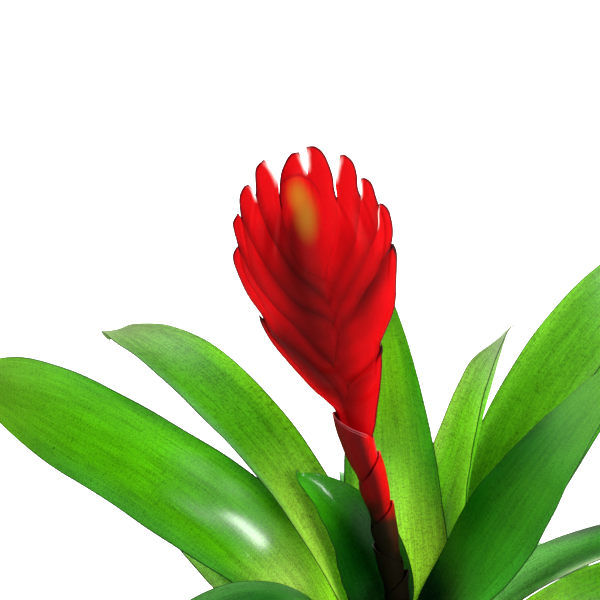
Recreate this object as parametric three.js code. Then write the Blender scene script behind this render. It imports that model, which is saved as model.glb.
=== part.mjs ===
// Flaming sword bromeliad, lifted whole and set down on the cut foot of its stock.
// Millimetres, +Z up. The origin is the middle of the flat foot, on the surface the plant rests on.
// +X is to the right and -Y to the front of the flat side of the sword.
import * as THREE from "three";

// ---- Stock: the short woody foot. Its side is a cone that the leaf bases stand against. ----
const STOCK_TOP = 44;
const STOCK_TOP_RADIUS = 9;
const RING_DROP = 1.27; // the leaf bases sink this much for each millimetre outwards
const STOCK_FOOT_RADIUS = 37;
const STOCK_FOOT_ROUNDING = 1.5;
const STOCK_EASE = 0.15; // extra room for the leaf bases
const OUTER_RING = 39.3; // ring of the outermost leaf base
const STOCK_SIDES = 24;
const STOCK_RINGS = [OUTER_RING, 28, 20, 12, STOCK_TOP_RADIUS];
const SEAT_GAP = 0.3; // between any piece and the one it grows from

// ---- Leaves ----
const BASE_THICKNESS = 1.25;
const BLADE_THICKNESS = 0.9;
const THICK_BASE_SHARE = 0.3; // share of the length over which the base thins to the blade
const EDGE_THINNING = 0.25;
const LEAF_ROWS = 13;
const LEAF_COLUMNS = 6;
const LEAF_END = 0.992; // the tip is cut off blunt here
const SPINE_STEPS = 96;
const SHEATH_SHARE = 0.35; // share of the length that clasps the stock
const OPENING_SHARE = 0.16; // share of the length over which the clasp flattens out
const CLASP_ANGLE = 1.3; // largest half angle round the stock, in radians
const DROOP_FROM = 0.93; // share of the length where the tip starts to hook down
const DROOP_POWER = 1.5;
const LEAST_HALF_WIDTH = 0.3;
const NARROW_FOOT = 0.9; // share of the full width at the foot of the blade, full from half way up
const CLASP_SPREAD = 0.5; // how fast the room round the stock grows along the leaf
const CLASP_SHARPNESS = 4;
const OPENING_POWER = 1.5;
const SWEEP_POWER = 1.3;
const TIP_FLATTENING = 0.5; // the channel loses this share of its angle over the tip
const FLATTEN_FROM = 0.7;

// One row per leaf, from the innermost outwards: name, ring radius of its base, bearing,
// pitch at the base and at the tip, how late it bends, sideways sweep, twist, share of the length
// the twist takes, length, width, channel angle, sheath width as a share of the blade's,
// where the tip begins, two tip shape powers, hook of the very tip. Angles are in degrees.
const LEAVES = [
  ["leaf_01", 10, -94.9, 81.6, -49.5, 1.1, -6.1, 5.4, 0.78, 100, 35.2, 7.7, 1.1, 0.53, 2.13, 0.65, 29.2],
  ["leaf_02", 11.6, 138.1, 82.6, 31, 1.19, 41.9, -23.6, 0.36, 87.4, 42.3, 35, 1.2, 0.16, 2.4, 0.94, -60],
  ["leaf_03", 13.2, -5.8, 64.9, 59.5, 1.1, -20, 42.5, 0.46, 173.6, 52, 6, 1.19, 0.25, 1.2, 0.65, 8.7],
  ["leaf_04", 16.2, 96.8, 78, 29.4, 1.1, -3.7, 13.3, 0.69, 176, 52.8, 25, 1.3, 0.25, 1.2, 0.65, 5.5],
  ["leaf_05", 18.6, 158, 75.6, -26, 1.26, -41.1, 0.1, 0.8, 234.3, 41.5, 30.2, 1.13, 0.62, 1.65, 0.65, 47.7],
  ["leaf_06", 20.7, 56.8, 65.2, 72.5, 0.09, -48.5, -14.8, 0.87, 158.7, 38.1, 46.3, 1.08, 0.77, 2.17, 2.7, 77.3],
  ["leaf_07", 21.6, -138.3, 70, -95.9, 1.24, 7.1, -10.4, 0.8, 215.4, 41.3, 25, 1.07, 0.55, 2.2, 0.65, 30],
  ["leaf_08", 22.4, 32, 73.3, 12.7, 1.64, -1.2, 2.7, 0.8, 248.8, 44.4, 13.9, 1.07, 0.59, 2.21, 0.65, 30],
  ["leaf_09", 24.4, -6.5, 68.9, -72.6, 1.1, 21.1, -24.8, 0.71, 248.7, 48, 18.3, 1.2, 0.55, 2.2, 0.65, 30],
  ["leaf_10", 26.4, 175.7, 66.4, -12.1, 1.1, -40, -71.6, 0.6, 243.9, 51, 40, 1.3, 0.68, 1.51, 0.65, 0.2],
  ["leaf_11", 27.7, 37.1, 68.3, 17.3, 1.1, 10.5, 26.7, 0.47, 252.1, 44.9, 12.6, 1.1, 0.55, 2.2, 0.65, 30],
  ["leaf_12", 30.4, -12, 63.8, -42.2, 1.1, -5.7, -1.9, 0.8, 240.5, 39.2, 6, 0.99, 0.54, 2.19, 0.65, 30],
  ["leaf_13", 31.8, -76.7, 67.2, -85, 1.1, 0.4, 0.1, 0.8, 230.4, 43.4, 18.7, 1.08, 0.55, 2.2, 0.65, 25.6],
  ["leaf_14", 33.3, 116.4, 64.4, -82.6, 1.1, -0.2, 8, 0.79, 180, 41.5, 18.6, 1.1, 0.55, 2.19, 0.65, 30.2],
  ["leaf_15", 34.8, 50, 63.2, -82.3, 1.1, -8, -7.5, 0.8, 138.4, 41.9, 19.4, 1.1, 0.54, 2.18, 0.65, 32.5],
  ["leaf_16", 36.3, -42, 62.1, -77.6, 1.14, 0, 0, 0.8, 225.3, 44, 20, 1.1, 0.55, 2.2, 0.65, 29.8],
  ["leaf_17", 37.8, 160, 59.3, 22.1, 1.53, -11.1, -17.4, 0.61, 143.5, 45.6, 7.7, 1.1, 0.55, 2.12, 0.65, 46.6],
  ["leaf_18", 39.3, 92.1, 59.7, -74.3, 1.17, -0.1, 0.8, 0.8, 176.5, 42, 19.2, 1.1, 0.55, 2.2, 0.65, 30],
];

// ---- Sword: bracts in two ranks, drawn in the sword's own plane as [across, up] ----
const SWORD_FOOT = [-22.91, 149.29]; // x and z of the sword's zero point
const SWORD_LEAN = [-0.14865, 0.98889]; // unit vector up the sword, in x and z
const LEFT = -1;
const RIGHT = 1;
const BRACT_THICKNESS = 0.6;
const BRACT_ROWS = 8;
const BRACT_HALF_COLUMNS = 4;
const BRACT_END = 0.985;
const LAYER_SLOPE = 0.1707; // how fast each bract leaves the rachis, so the next one fits inside
const RACHIS_RADIUS = 1.5;
const RACHIS_FOOT_EXTRA = 1.6; // the rachis is this much thicker at the lowest bract
const RACHIS_FOOT_HEIGHT = -3.1;
const RACHIS_TAPER = 9;
const KEEL_ROUND = 2.0; // half width reached just behind the keel's fold
const KEEL_ROUND_REACH = 1.2;
const BELLY_SLOPE = 0.3;
const BLEND = 0.5;
const KEEL_FOOT_OFFSET = 1.5;
const MARGIN_FOOT_OFFSET = 2.4;
const CURVE_STEPS = 60;
const CURVE_SPAN_STEPS = 12;
const KEEL_CROWDING = 1.5; // columns lie closer together at the keel, and rows at the tip

// From the lowest bract up. The keel and the margin both run from the tip down.
// belly scales how far the bract swells to the front and back. The two lowest bracts start
// further down than their layers do: layerFrom is where the layer starts to leave the rachis,
// and lift is the least room it keeps for the bract inside it.
const BRACTS = [
  {
    name: "bract_left_1",
    side: LEFT,
    node: [2, -13.5],
    belly: 1.9,
    layerFrom: -3.1,
    lift: 1.2,
    keel: [[-31.8, 57.2], [-31.1, 52.2], [-26.8, 40.9], [-15.1, 20.5], [-9.8, 13.6], [-6.1, 8],
      [-5.2, 2.5], [-5, -4]],
    margin: [[-31.8, 57.2], [-28.1, 50.7], [-20.7, 40], [-11.6, 24.1], [-2.2, 10.1], [2.6, -1],
      [4.6, -8]],
  },
  {
    name: "bract_right_1",
    side: RIGHT,
    node: [2.1, -12],
    belly: 1.1,
    layerFrom: 2.4,
    lift: 0,
    keel: [[17.9, 36.5], [17.8, 33.2], [16.9, 30], [16.5, 26.7], [15.2, 20.1], [13.4, 12.2],
      [11.7, 6.1], [9.9, -1.5], [7.7, -7.7]],
    margin: [[17.9, 36.5], [15.8, 30.8], [12.6, 28.7], [9.3, 26.3], [5.9, 23.5], [2.9, 20.6],
      [1.1, 17.4], [-0.9, 11.9], [-1.6, 7.5], [-0.8, 1], [0.2, -6]],
  },
  {
    name: "bract_left_2",
    side: LEFT,
    node: [-0.1, 7.9],
    belly: 1.35,
    keel: [[-35.7, 89.5], [-37.8, 86], [-37.9, 80.4], [-34.9, 67.4], [-30.4, 57.1],
      [-29.6, 53.2], [-28.6, 49.3], [-26.8, 45.6], [-9, 15.2], [-3.1, 7.9]],
    margin: [[-35.7, 89.5], [-31.9, 77.3], [-27.9, 67.9], [-22, 58.3], [-17, 52.1], [-4.2, 29.9],
      [0.4, 17], [2.3, 7.9]],
  },
  {
    name: "bract_right_2",
    side: RIGHT,
    node: [-0.5, 13.8],
    belly: 1.1,
    keel: [[28.7, 81.2], [29.2, 75.5], [27.1, 61.8], [26.1, 55.6], [24, 49.3], [19, 40.1],
      [17.3, 36.8], [16.6, 33.4], [15.2, 30.4], [13.8, 27.1], [12.8, 23.4], [11.6, 19.8]],
    margin: [[28.7, 81.2], [22.7, 75.4], [20.2, 70.6], [12.2, 61.3], [6.7, 52.8], [2.6, 47.1],
      [0.4, 44.1], [-2.1, 37.2], [-3.3, 29.6], [-2.9, 13.8]],
  },
  {
    name: "bract_left_3",
    side: LEFT,
    node: [-1, 19.7],
    belly: 1.15,
    keel: [[-32.9, 104.2], [-35.2, 100.7], [-35.8, 98], [-35.1, 88.4], [-35.1, 81.2],
      [-33.7, 73.6], [-30.7, 66.1], [-25, 50], [-14.3, 29.6], [-8.1, 22.4], [-4, 19.7]],
    margin: [[-32.9, 104.2], [-26.9, 84.8], [-18.2, 67.3], [-13.1, 60.6], [-6.3, 55.1],
      [-0.9, 47.9], [1.9, 34.2], [1.4, 19.7]],
  },
  {
    name: "bract_right_3",
    side: RIGHT,
    node: [-1.5, 25.1],
    belly: 1.1,
    keel: [[25.3, 99.7], [26.7, 99], [27.9, 97.1], [28.7, 94.8], [28.9, 86], [25.4, 72.9],
      [22.1, 54.2], [20.9, 50.4], [19, 46.8], [17, 43.2], [15.5, 39.3], [13.1, 31.2], [1.5, 25.1]],
    margin: [[25.3, 99.7], [24.2, 96.2], [21.5, 85.9], [6.2, 63.2], [-0.8, 49.5], [-2.8, 41.7],
      [-3.9, 25.1]],
  },
  {
    name: "bract_left_4",
    side: LEFT,
    node: [-2, 30.4],
    belly: 1.16,
    keel: [[-26.9, 115.7], [-28.5, 115], [-31.6, 107.4], [-31.5, 81.4], [-30, 73.2],
      [-25.3, 60.9], [-22.3, 52.2], [-16.4, 39.3], [-13.5, 35.4], [-5, 30.4]],
    margin: [[-26.9, 115.7], [-24.9, 112.1], [-22.4, 96.7], [-17.1, 82.7], [-13.4, 75.6],
      [-5.8, 65.5], [0, 53.6], [1, 44.5], [0.4, 30.4]],
  },
  {
    name: "bract_right_4",
    side: RIGHT,
    node: [-2.2, 35.7],
    belly: 1.15,
    keel: [[19.2, 111.6], [20.8, 111.4], [22.4, 109.8], [23.4, 107.4], [24.2, 101.6],
      [25.4, 95.3], [25.9, 91.9], [25.3, 84.8], [20.6, 65.9], [18.3, 53.5], [12.8, 41.8],
      [0.8, 35.7]],
    margin: [[19.2, 111.6], [17.4, 100.4], [13, 85.3], [5.9, 73.2], [-2.5, 56], [-3.8, 39.8],
      [-4.6, 35.7]],
  },
  {
    name: "bract_left_5",
    side: LEFT,
    node: [-2.4, 41],
    belly: 1.16,
    keel: [[-18.7, 125.6], [-21.8, 122.9], [-23, 120.3], [-24.3, 110.7], [-27.6, 100],
      [-28.3, 92], [-26.8, 75], [-20.6, 57.7], [-17.6, 48.7], [-14.4, 45.2], [-5.4, 41]],
    margin: [[-18.7, 125.6], [-15.8, 119.6], [-14.6, 113.8], [-15.1, 103.7], [-12.6, 84.9],
      [-8.9, 77.6], [-3.2, 71.4], [0.6, 63.7], [0, 41]],
  },
  {
    name: "bract_right_5",
    side: RIGHT,
    node: [-2.6, 46.2],
    belly: 1.14,
    keel: [[12.1, 122.7], [13.8, 122.7], [16.8, 118.8], [17.6, 112.9], [17.3, 106.3],
      [20.1, 95.8], [21.4, 84.2], [17.5, 68], [15.8, 54.9], [13.2, 51.3], [0.4, 46.2]],
    margin: [[12.1, 122.7], [8.7, 112.2], [8.2, 103.3], [5.7, 90.3], [-4, 62.3], [-5, 46.2]],
  },
  {
    name: "bract_left_6",
    side: LEFT,
    node: [-2.7, 51.4],
    belly: 0.92,
    keel: [[-4.1, 126.5], [-7.9, 125.7], [-12.5, 118.6], [-14.7, 108.8], [-15.5, 101.6],
      [-22.7, 78.8], [-23.2, 74.6], [-22, 70.5], [-20.4, 66.4], [-17.5, 58.1], [-5.7, 51.4]],
    margin: [[-4.1, 126.5], [-1.9, 113.4], [-0.9, 88.3], [0.4, 70.4], [-0.3, 51.4]],
  },
  {
    name: "bract_right_6",
    side: RIGHT,
    node: [-2.7, 56.5],
    belly: 0.54,
    keel: [[-1, 128.4], [2.7, 127.7], [5.8, 123.5], [7.7, 114.5], [8.1, 104.2], [15, 82.3],
      [15.5, 78.2], [15, 74.1], [14.4, 70], [12.3, 62.1], [0.3, 56.5]],
    margin: [[-1, 128.4], [-2.5, 113], [-4.6, 101.4], [-6.3, 85.2], [-6.2, 74.7], [-5, 67.6],
      [-5.1, 56.5]],
  },
  {
    name: "inner_bud",
    side: LEFT,
    node: [-2.7, 61.6],
    belly: 0.24,
    keel: [[-5.6, 116.9], [-8.6, 116.4], [-10.9, 113.1], [-13.8, 95.1], [-19.2, 77.5],
      [-19.6, 74.3], [-19.3, 71], [-17.7, 68.1], [-15, 66.1], [-5.7, 61.6]],
    margin: [[-5.6, 116.9], [-3.2, 115.9], [-0.4, 109.1], [-0.6, 76.2], [-0.3, 61.6]],
  },
];

// ---- Flower stalk: x, z and radius along its middle, from the stock to the top of the rachis ----
const STALK = [
  [1.2, 44.3, 3.9],
  [-1.2, 58, 3.7],
  [-4, 74, 3.7],
  [-6.7, 90, 3.8],
  [-9.2, 102, 3.9],
  [-11.9, 114, 4.2],
  [-15.1, 126, 4.2],
  [-17.1, 131, 3.9],
  [-19, 136.5, 2.8],
  [-21.4, 145, 2.7],
  [-22.7, 150, 1.9],
  [-24, 157, 1.7],
  [-26.8, 168.5, 1.4],
  [-31.4, 189.5, 1.2],
  [-34, 206, 0.9],
];
const STALK_STEPS = 200;
const STALK_RINGS = 30;
const STALK_SIDES = 12;

// ---- Sheaths of the stalk, from the lowest up: name, side of the tip, height of the foot and of
// ---- the tip, radii at equal steps between them, how far the tip stands off, share of the height
// ---- where its margins start to narrow to the tip, and how flat it is at the top.
const SHEATHS = [
  ["stalk_sheath_1", RIGHT, 49, 74, [4.4, 4.85, 5.5, 5.65, 6], 1.5, 0.5, 1],
  ["stalk_sheath_2", LEFT, 64, 90, [4.45, 4.65, 5.6, 5.8, 6], 0.4, 0.55, 1],
  ["stalk_sheath_3", RIGHT, 80, 109.5, [4.6, 4.8, 5.75, 5.95, 6.25], 0.4, 0.6, 1],
  ["stalk_sheath_4", RIGHT, 98, 133, [4.65, 4.7, 6.15, 6.8, 7.6], 0, 0.6, 1],
  ["stalk_sheath_5", LEFT, 116.5, 156.5, [4.95, 5.6, 6.8, 7.4, 7.5], 0.2, 0.6, 0.82],
];
const SHEATH_THICKNESS = 0.6;
const SHEATH_ROWS = 10;
const SHEATH_HALF_COLUMNS = 6;
const SHEATH_WRAP = 3; // half angle of the wrap below the narrowing, in radians
const SHEATH_POINT = 0.7; // power of the narrowing
const SHEATH_END = 0.985; // the tip is cut off blunt here
const TIP_LEAN_POWER = 4;

const LEAF_GREEN = new THREE.MeshStandardMaterial({ color: 0x5d9a1f, roughness: 0.35 });
const BRACT_RED = new THREE.MeshStandardMaterial({ color: 0xc01414, roughness: 0.35 });
const SHEATH_RED = new THREE.MeshStandardMaterial({ color: 0x7d1613, roughness: 0.5 });
const STALK_RED = new THREE.MeshStandardMaterial({ color: 0x8c1a14, roughness: 0.5 });
const STOCK_BROWN = new THREE.MeshStandardMaterial({ color: 0x6b4a2c, roughness: 0.85 });

const { clamp, degToRad, lerp } = THREE.MathUtils;
const clamp01 = (x) => clamp(x, 0, 1);

function ease(x) {
  const c = clamp01(x);
  return c * c * (3 - 2 * c);
}

/** The value of evenly spaced samples at a share between 0 and 1. */
function sampled(values, share) {
  const at = clamp01(share) * (values.length - 1);
  const low = Math.min(Math.floor(at), values.length - 2);
  return lerp(values[low], values[low + 1], at - low);
}

// ---- Sheets: a grid of middle points, thickened both ways into one closed solid ----

/** Unit normals of a grid of points, from the directions to the neighbouring points. */
function gridNormals(grid) {
  const rows = grid.length;
  const columns = grid[0].length;
  return grid.map((row, i) =>
    row.map((_, j) => {
      const along = grid[Math.min(i + 1, rows - 1)][j]
        .clone()
        .sub(grid[Math.max(i - 1, 0)][j]);
      const across = grid[i][Math.min(j + 1, columns - 1)]
        .clone()
        .sub(grid[i][Math.max(j - 1, 0)]);
      return along.cross(across).normalize();
    }),
  );
}

/** The two triangles of one grid cell; the two halves of the sheet slant opposite ways. */
function cellTriangles(a, b, c, d, firstHalf) {
  if (firstHalf) {
    return [[a, b, c], [a, c, d]];
  }
  return [[a, b, d], [b, c, d]];
}

/** Triangles of the rim that joins the two faces of a sheet. */
function rimTriangles(rows, columns, back) {
  const at = (i, j) => i * columns + j;
  const rim = [];
  const join = (a, b) => {
    rim.push([a, back + b, b], [a, back + a, back + b]);
  };
  for (let i = 0; i < rows - 1; i++) {
    join(at(i, 0), at(i + 1, 0));
    join(at(i + 1, columns - 1), at(i, columns - 1));
  }
  for (let j = 0; j < columns - 1; j++) {
    join(at(0, j + 1), at(0, j));
    join(at(rows - 1, j), at(rows - 1, j + 1));
  }
  return rim;
}

/** A closed solid: the grid moved along its normals by half the thickness, both ways. */
function sheetSolid(grid, normals, thickness) {
  const rows = grid.length;
  const columns = grid[0].length;
  const back = rows * columns;
  const points = [];
  for (const way of [0.5, -0.5]) {
    grid.forEach((row, i) =>
      row.forEach((point, j) => {
        const moved = point.clone().addScaledVector(normals[i][j], way * thickness(i, j));
        points.push(moved.x, moved.y, moved.z);
      }),
    );
  }
  const triangles = rimTriangles(rows, columns, back);
  for (let i = 0; i < rows - 1; i++) {
    for (let j = 0; j < columns - 1; j++) {
      const a = i * columns + j;
      const b = a + columns;
      const cell = cellTriangles(a, b, b + 1, a + 1, j < (columns - 1) / 2);
      for (const [p, q, r] of cell) {
        triangles.push([p, q, r], [back + p, back + r, back + q]);
      }
    }
  }
  const geometry = new THREE.BufferGeometry();
  geometry.setAttribute("position", new THREE.Float32BufferAttribute(points, 3));
  geometry.setIndex(triangles.flat());
  geometry.computeVertexNormals();
  return geometry;
}

// ---- Leaves ----

/** Half width of a leaf at share s of its length, before the room round the stock limits it. */
function leafHalfWidth(leaf, s) {
  const neck = 1 + (leaf.sheath - 1) * (1 - ease(s / SHEATH_SHARE));
  const body = lerp(NARROW_FOOT, 1, ease(2 * s));
  const t = clamp01((s - leaf.tipFrom) / (1 - leaf.tipFrom));
  const tip = (1 - t ** leaf.tipPower) ** leaf.tipRoot;
  return Math.max((leaf.width / 2) * neck * body * tip, LEAST_HALF_WIDTH);
}

/** Half width of a leaf, kept narrow enough low down to clasp its ring of the stock. */
function claspedHalfWidth(leaf, s) {
  const room = CLASP_ANGLE * (leaf.ring + CLASP_SPREAD * s * leaf.length);
  const narrow = leafHalfWidth(leaf, s) ** -CLASP_SHARPNESS + room ** -CLASP_SHARPNESS;
  return narrow ** (-1 / CLASP_SHARPNESS);
}

/** Half angle of the channel's arc at share s. */
function channelAngle(leaf, s) {
  const atBase = claspedHalfWidth(leaf, 0) / leaf.ring;
  const inBlade = degToRad(leaf.channel);
  const opened = inBlade + (atBase - inBlade) * Math.exp(-((s / OPENING_SHARE) ** OPENING_POWER));
  const atTip = clamp01((s - FLATTEN_FROM) / (1 - FLATTEN_FROM));
  return opened * (1 - TIP_FLATTENING * atTip);
}

const pitchAt = (leaf, s) =>
  degToRad(
    leaf.basePitch +
      (leaf.tipPitch - leaf.basePitch) * s ** leaf.bend -
      leaf.hook * clamp01((s - DROOP_FROM) / (1 - DROOP_FROM)) ** DROOP_POWER,
  );

const headingAt = (leaf, s) => degToRad(leaf.bearing + leaf.sweep * s ** SWEEP_POWER);

/** Points along the middle of a leaf, followed up from its ring of the stock. */
function leafSpine(leaf) {
  const bearing = degToRad(leaf.bearing);
  const baseHeight = STOCK_TOP - (leaf.ring - STOCK_TOP_RADIUS) * RING_DROP;
  const at = new THREE.Vector3(
    leaf.ring * Math.cos(bearing),
    leaf.ring * Math.sin(bearing),
    baseHeight,
  );
  const spine = [at.clone()];
  for (let k = 0; k < SPINE_STEPS; k++) {
    const s = (k + 0.5) / SPINE_STEPS;
    const step = leafDirection(pitchAt(leaf, s), headingAt(leaf, s));
    at.addScaledVector(step, leaf.length / SPINE_STEPS);
    spine.push(at.clone());
  }
  return spine;
}

const leafDirection = (pitch, heading) =>
  new THREE.Vector3(
    Math.cos(pitch) * Math.cos(heading),
    Math.cos(pitch) * Math.sin(heading),
    Math.sin(pitch),
  );

/** Position, sideways direction and upper-face direction of a leaf at share s. */
function leafFrame(leaf, spine, s) {
  const origin = new THREE.Vector3(
    sampled(spine.map((p) => p.x), s),
    sampled(spine.map((p) => p.y), s),
    sampled(spine.map((p) => p.z), s),
  );
  const heading = headingAt(leaf, s);
  const along = leafDirection(pitchAt(leaf, s), heading);
  const side = new THREE.Vector3(-Math.sin(heading), Math.cos(heading), 0);
  const upper = along.clone().cross(side);
  const turn = degToRad(leaf.twist) * ease(s / leaf.twistShare);
  const turnedSide = side
    .clone()
    .multiplyScalar(Math.cos(turn))
    .addScaledVector(upper, Math.sin(turn));
  const turnedUpper = upper
    .multiplyScalar(Math.cos(turn))
    .addScaledVector(side, -Math.sin(turn));
  return { origin, side: turnedSide, upper: turnedUpper };
}

/** One leaf: an arched, channelled strap blade that clasps the stock at its base. */
function leafGeometry(leaf) {
  const spine = leafSpine(leaf);
  const grid = [];
  const normals = [];
  const shares = [];
  for (let i = 0; i <= LEAF_ROWS; i++) {
    const s = i === LEAF_ROWS ? LEAF_END : i / LEAF_ROWS;
    const { origin, side, upper } = leafFrame(leaf, spine, s);
    const angle = channelAngle(leaf, s);
    const radius = claspedHalfWidth(leaf, s) / angle;
    shares.push(s);
    grid.push([]);
    normals.push([]);
    for (let j = 0; j <= LEAF_COLUMNS; j++) {
      const a = angle * ((2 * j) / LEAF_COLUMNS - 1);
      grid[i].push(
        origin
          .clone()
          .addScaledVector(side, radius * Math.sin(a))
          .addScaledVector(upper, radius * (1 - Math.cos(a))),
      );
      normals[i].push(
        upper.clone().multiplyScalar(Math.cos(a)).addScaledVector(side, -Math.sin(a)),
      );
    }
  }
  const thickness = (i, j) => {
    const across = Math.abs((2 * j) / LEAF_COLUMNS - 1);
    const thinned = clamp01(shares[i] / THICK_BASE_SHARE);
    const middle = lerp(BASE_THICKNESS, BLADE_THICKNESS, thinned);
    return middle * (1 - EDGE_THINNING * across ** 3);
  };
  return sheetSolid(grid, normals, thickness);
}

function leafOf(row) {
  const [name, ring, bearing, basePitch, tipPitch, bend, sweep, twist, twistShare] = row;
  const [length, width, channel, sheath, tipFrom, tipPower, tipRoot, hook] = row.slice(9);
  return {
    name, ring, bearing, basePitch, tipPitch, bend, sweep, twist, twistShare,
    length, width, channel, sheath, tipFrom, tipPower, tipRoot, hook,
  };
}

// ---- Curves in a plane ----

/** A smooth curve through the points, cut into equal steps of its length. */
function smoothCurve(points, steps) {
  const last = points.length - 1;
  const beyond = (a, b) => a.map((value, k) => 2 * value - b[k]);
  const run = [beyond(points[0], points[1]), ...points, beyond(points[last], points[last - 1])];
  const fine = [];
  for (let i = 1; i <= last; i++) {
    const [p0, p1, p2, p3] = run.slice(i - 1, i + 3);
    for (let k = 0; k < CURVE_SPAN_STEPS; k++) {
      const t = k / CURVE_SPAN_STEPS;
      fine.push(p1.map((_, n) => spanValue(p0[n], p1[n], p2[n], p3[n], t)));
    }
  }
  fine.push(points[last]);
  return equalSteps(fine, steps);
}

const spanValue = (a, b, c, d, t) =>
  0.5 *
  (2 * b +
    (c - a) * t +
    (2 * a - 5 * b + 4 * c - d) * t ** 2 +
    (3 * b - a - 3 * c + d) * t ** 3);

/** Points at equal steps of length along a polyline; only the first two values are a place. */
function equalSteps(line, steps) {
  const lengths = [0];
  for (let i = 1; i < line.length; i++) {
    const step = Math.hypot(line[i][0] - line[i - 1][0], line[i][1] - line[i - 1][1]);
    lengths.push(lengths[i - 1] + step);
  }
  const total = lengths[lengths.length - 1];
  const out = [];
  let at = 0;
  for (let k = 0; k <= steps; k++) {
    const wanted = (total * k) / steps;
    while (at < line.length - 2 && lengths[at + 1] < wanted) {
      at++;
    }
    const share = clamp01((wanted - lengths[at]) / (lengths[at + 1] - lengths[at]));
    out.push(line[at].map((value, n) => lerp(value, line[at + 1][n], share)));
  }
  return out;
}

const onCurve = (curve, share) =>
  curve[0].map((_, n) => sampled(curve.map((p) => p[n]), share));

/** Shortest distance from a point to a polyline. */
function distanceTo(point, line) {
  let best = Infinity;
  for (let i = 1; i < line.length; i++) {
    const [ax, az] = line[i - 1];
    const dx = line[i][0] - ax;
    const dz = line[i][1] - az;
    const share = ((point[0] - ax) * dx + (point[1] - az) * dz) / (dx * dx + dz * dz);
    const t = clamp01(share);
    best = Math.min(best, Math.hypot(point[0] - ax - t * dx, point[1] - az - t * dz));
  }
  return best;
}

// ---- Sword bracts ----

/** Radius of the rachis at a height up the sword. */
const rachisRadius = (up) =>
  RACHIS_RADIUS +
  RACHIS_FOOT_EXTRA * Math.exp(-Math.max(up - RACHIS_FOOT_HEIGHT, 0) / RACHIS_TAPER);

/** A place in the sword's own plane, moved out of it by depth, as a point of the plant. */
function swordPoint([across, up], depth) {
  const [leanX, leanZ] = SWORD_LEAN;
  return new THREE.Vector3(
    SWORD_FOOT[0] + across * leanZ + up * leanX,
    depth,
    SWORD_FOOT[1] - across * leanX + up * leanZ,
  );
}

/** How far a bract stands to the front and back, at a place and a distance from its keel. */
function bractHalfWidth(bract, place, fromKeel) {
  const { layerFrom = bract.node[1], lift = 0 } = bract;
  const layer =
    rachisRadius(place[1]) +
    SEAT_GAP +
    BRACT_THICKNESS / 2 +
    Math.max(LAYER_SLOPE * (place[1] - layerFrom), lift);
  const rounded = KEEL_ROUND * (1 - Math.exp(-fromKeel / KEEL_ROUND_REACH));
  const swollen = bract.belly * (rounded + BELLY_SLOPE * fromKeel);
  const sum = Math.exp(-layer / BLEND) + Math.exp(-swollen / BLEND);
  return Math.max(-BLEND * Math.log(sum), 0);
}

/** Share of the bract's length for each row: the rows are closer together near the tip. */
function bractShare(row) {
  const t = row / BRACT_ROWS;
  return BRACT_END * lerp(t, 1 - (1 - t) ** KEEL_CROWDING, 0.5);
}

/** One bract: a boat-shaped fold with its keel outwards and both margins inwards. */
function bractGeometry(bract) {
  const [nodeAcross, nodeUp] = bract.node;
  const keelFoot = bract.side * (rachisRadius(nodeUp) + KEEL_FOOT_OFFSET);
  const marginFoot = bract.side * MARGIN_FOOT_OFFSET;
  const keel = smoothCurve([...bract.keel, [nodeAcross + keelFoot, nodeUp]], CURVE_STEPS);
  const margin = smoothCurve([...bract.margin, [nodeAcross - marginFoot, nodeUp]], CURVE_STEPS);
  const half = BRACT_HALF_COLUMNS;
  const grid = [];
  for (let i = 0; i <= BRACT_ROWS; i++) {
    const share = 1 - bractShare(i);
    const atKeel = onCurve(keel, share);
    const atMargin = onCurve(margin, share);
    const row = [];
    for (let j = 0; j <= half; j++) {
      const q = (j / half) ** KEEL_CROWDING;
      const place = [lerp(atKeel[0], atMargin[0], q), lerp(atKeel[1], atMargin[1], q)];
      const depth = j === 0 ? 0 : bractHalfWidth(bract, place, distanceTo(place, keel));
      row[half + j] = swordPoint(place, bract.side * depth);
      row[half - j] = swordPoint(place, -bract.side * depth);
    }
    grid.push(row);
  }
  return sheetSolid(grid, gridNormals(grid), () => BRACT_THICKNESS);
}

// ---- Flower stalk and its sheaths ----

const stalkLine = smoothCurve(STALK, STALK_STEPS);

/** Place and radius of the stalk at a height. */
function stalkAt(height) {
  const above = stalkLine.findIndex(([, z]) => z >= height);
  const k = above < 0 ? STALK_STEPS : Math.max(above, 1);
  const [low, high] = [stalkLine[k - 1], stalkLine[k]];
  const share = (height - low[1]) / (high[1] - low[1]);
  return low.map((value, n) => lerp(value, high[n], share));
}

/** Middle, radius, and the direction across the stalk in its own plane, at a height. */
function stalkFrame(height) {
  const [x, z, radius] = stalkAt(height);
  const before = stalkAt(height - 1);
  const after = stalkAt(height + 1);
  const along = new THREE.Vector3(after[0] - before[0], 0, after[1] - before[1]).normalize();
  const across = new THREE.Vector3(along.z, 0, -along.x);
  return { middle: new THREE.Vector3(x, 0, z), radius, across };
}

const FRONT = new THREE.Vector3(0, -1, 0);

/** A point round the stalk: angle 0 is on its right, a quarter turn is in front. */
const roundStalk = (frame, sideways, frontwards, angle) =>
  frame.middle
    .clone()
    .addScaledVector(frame.across, sideways * Math.cos(angle))
    .addScaledVector(FRONT, frontwards * Math.sin(angle));

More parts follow.
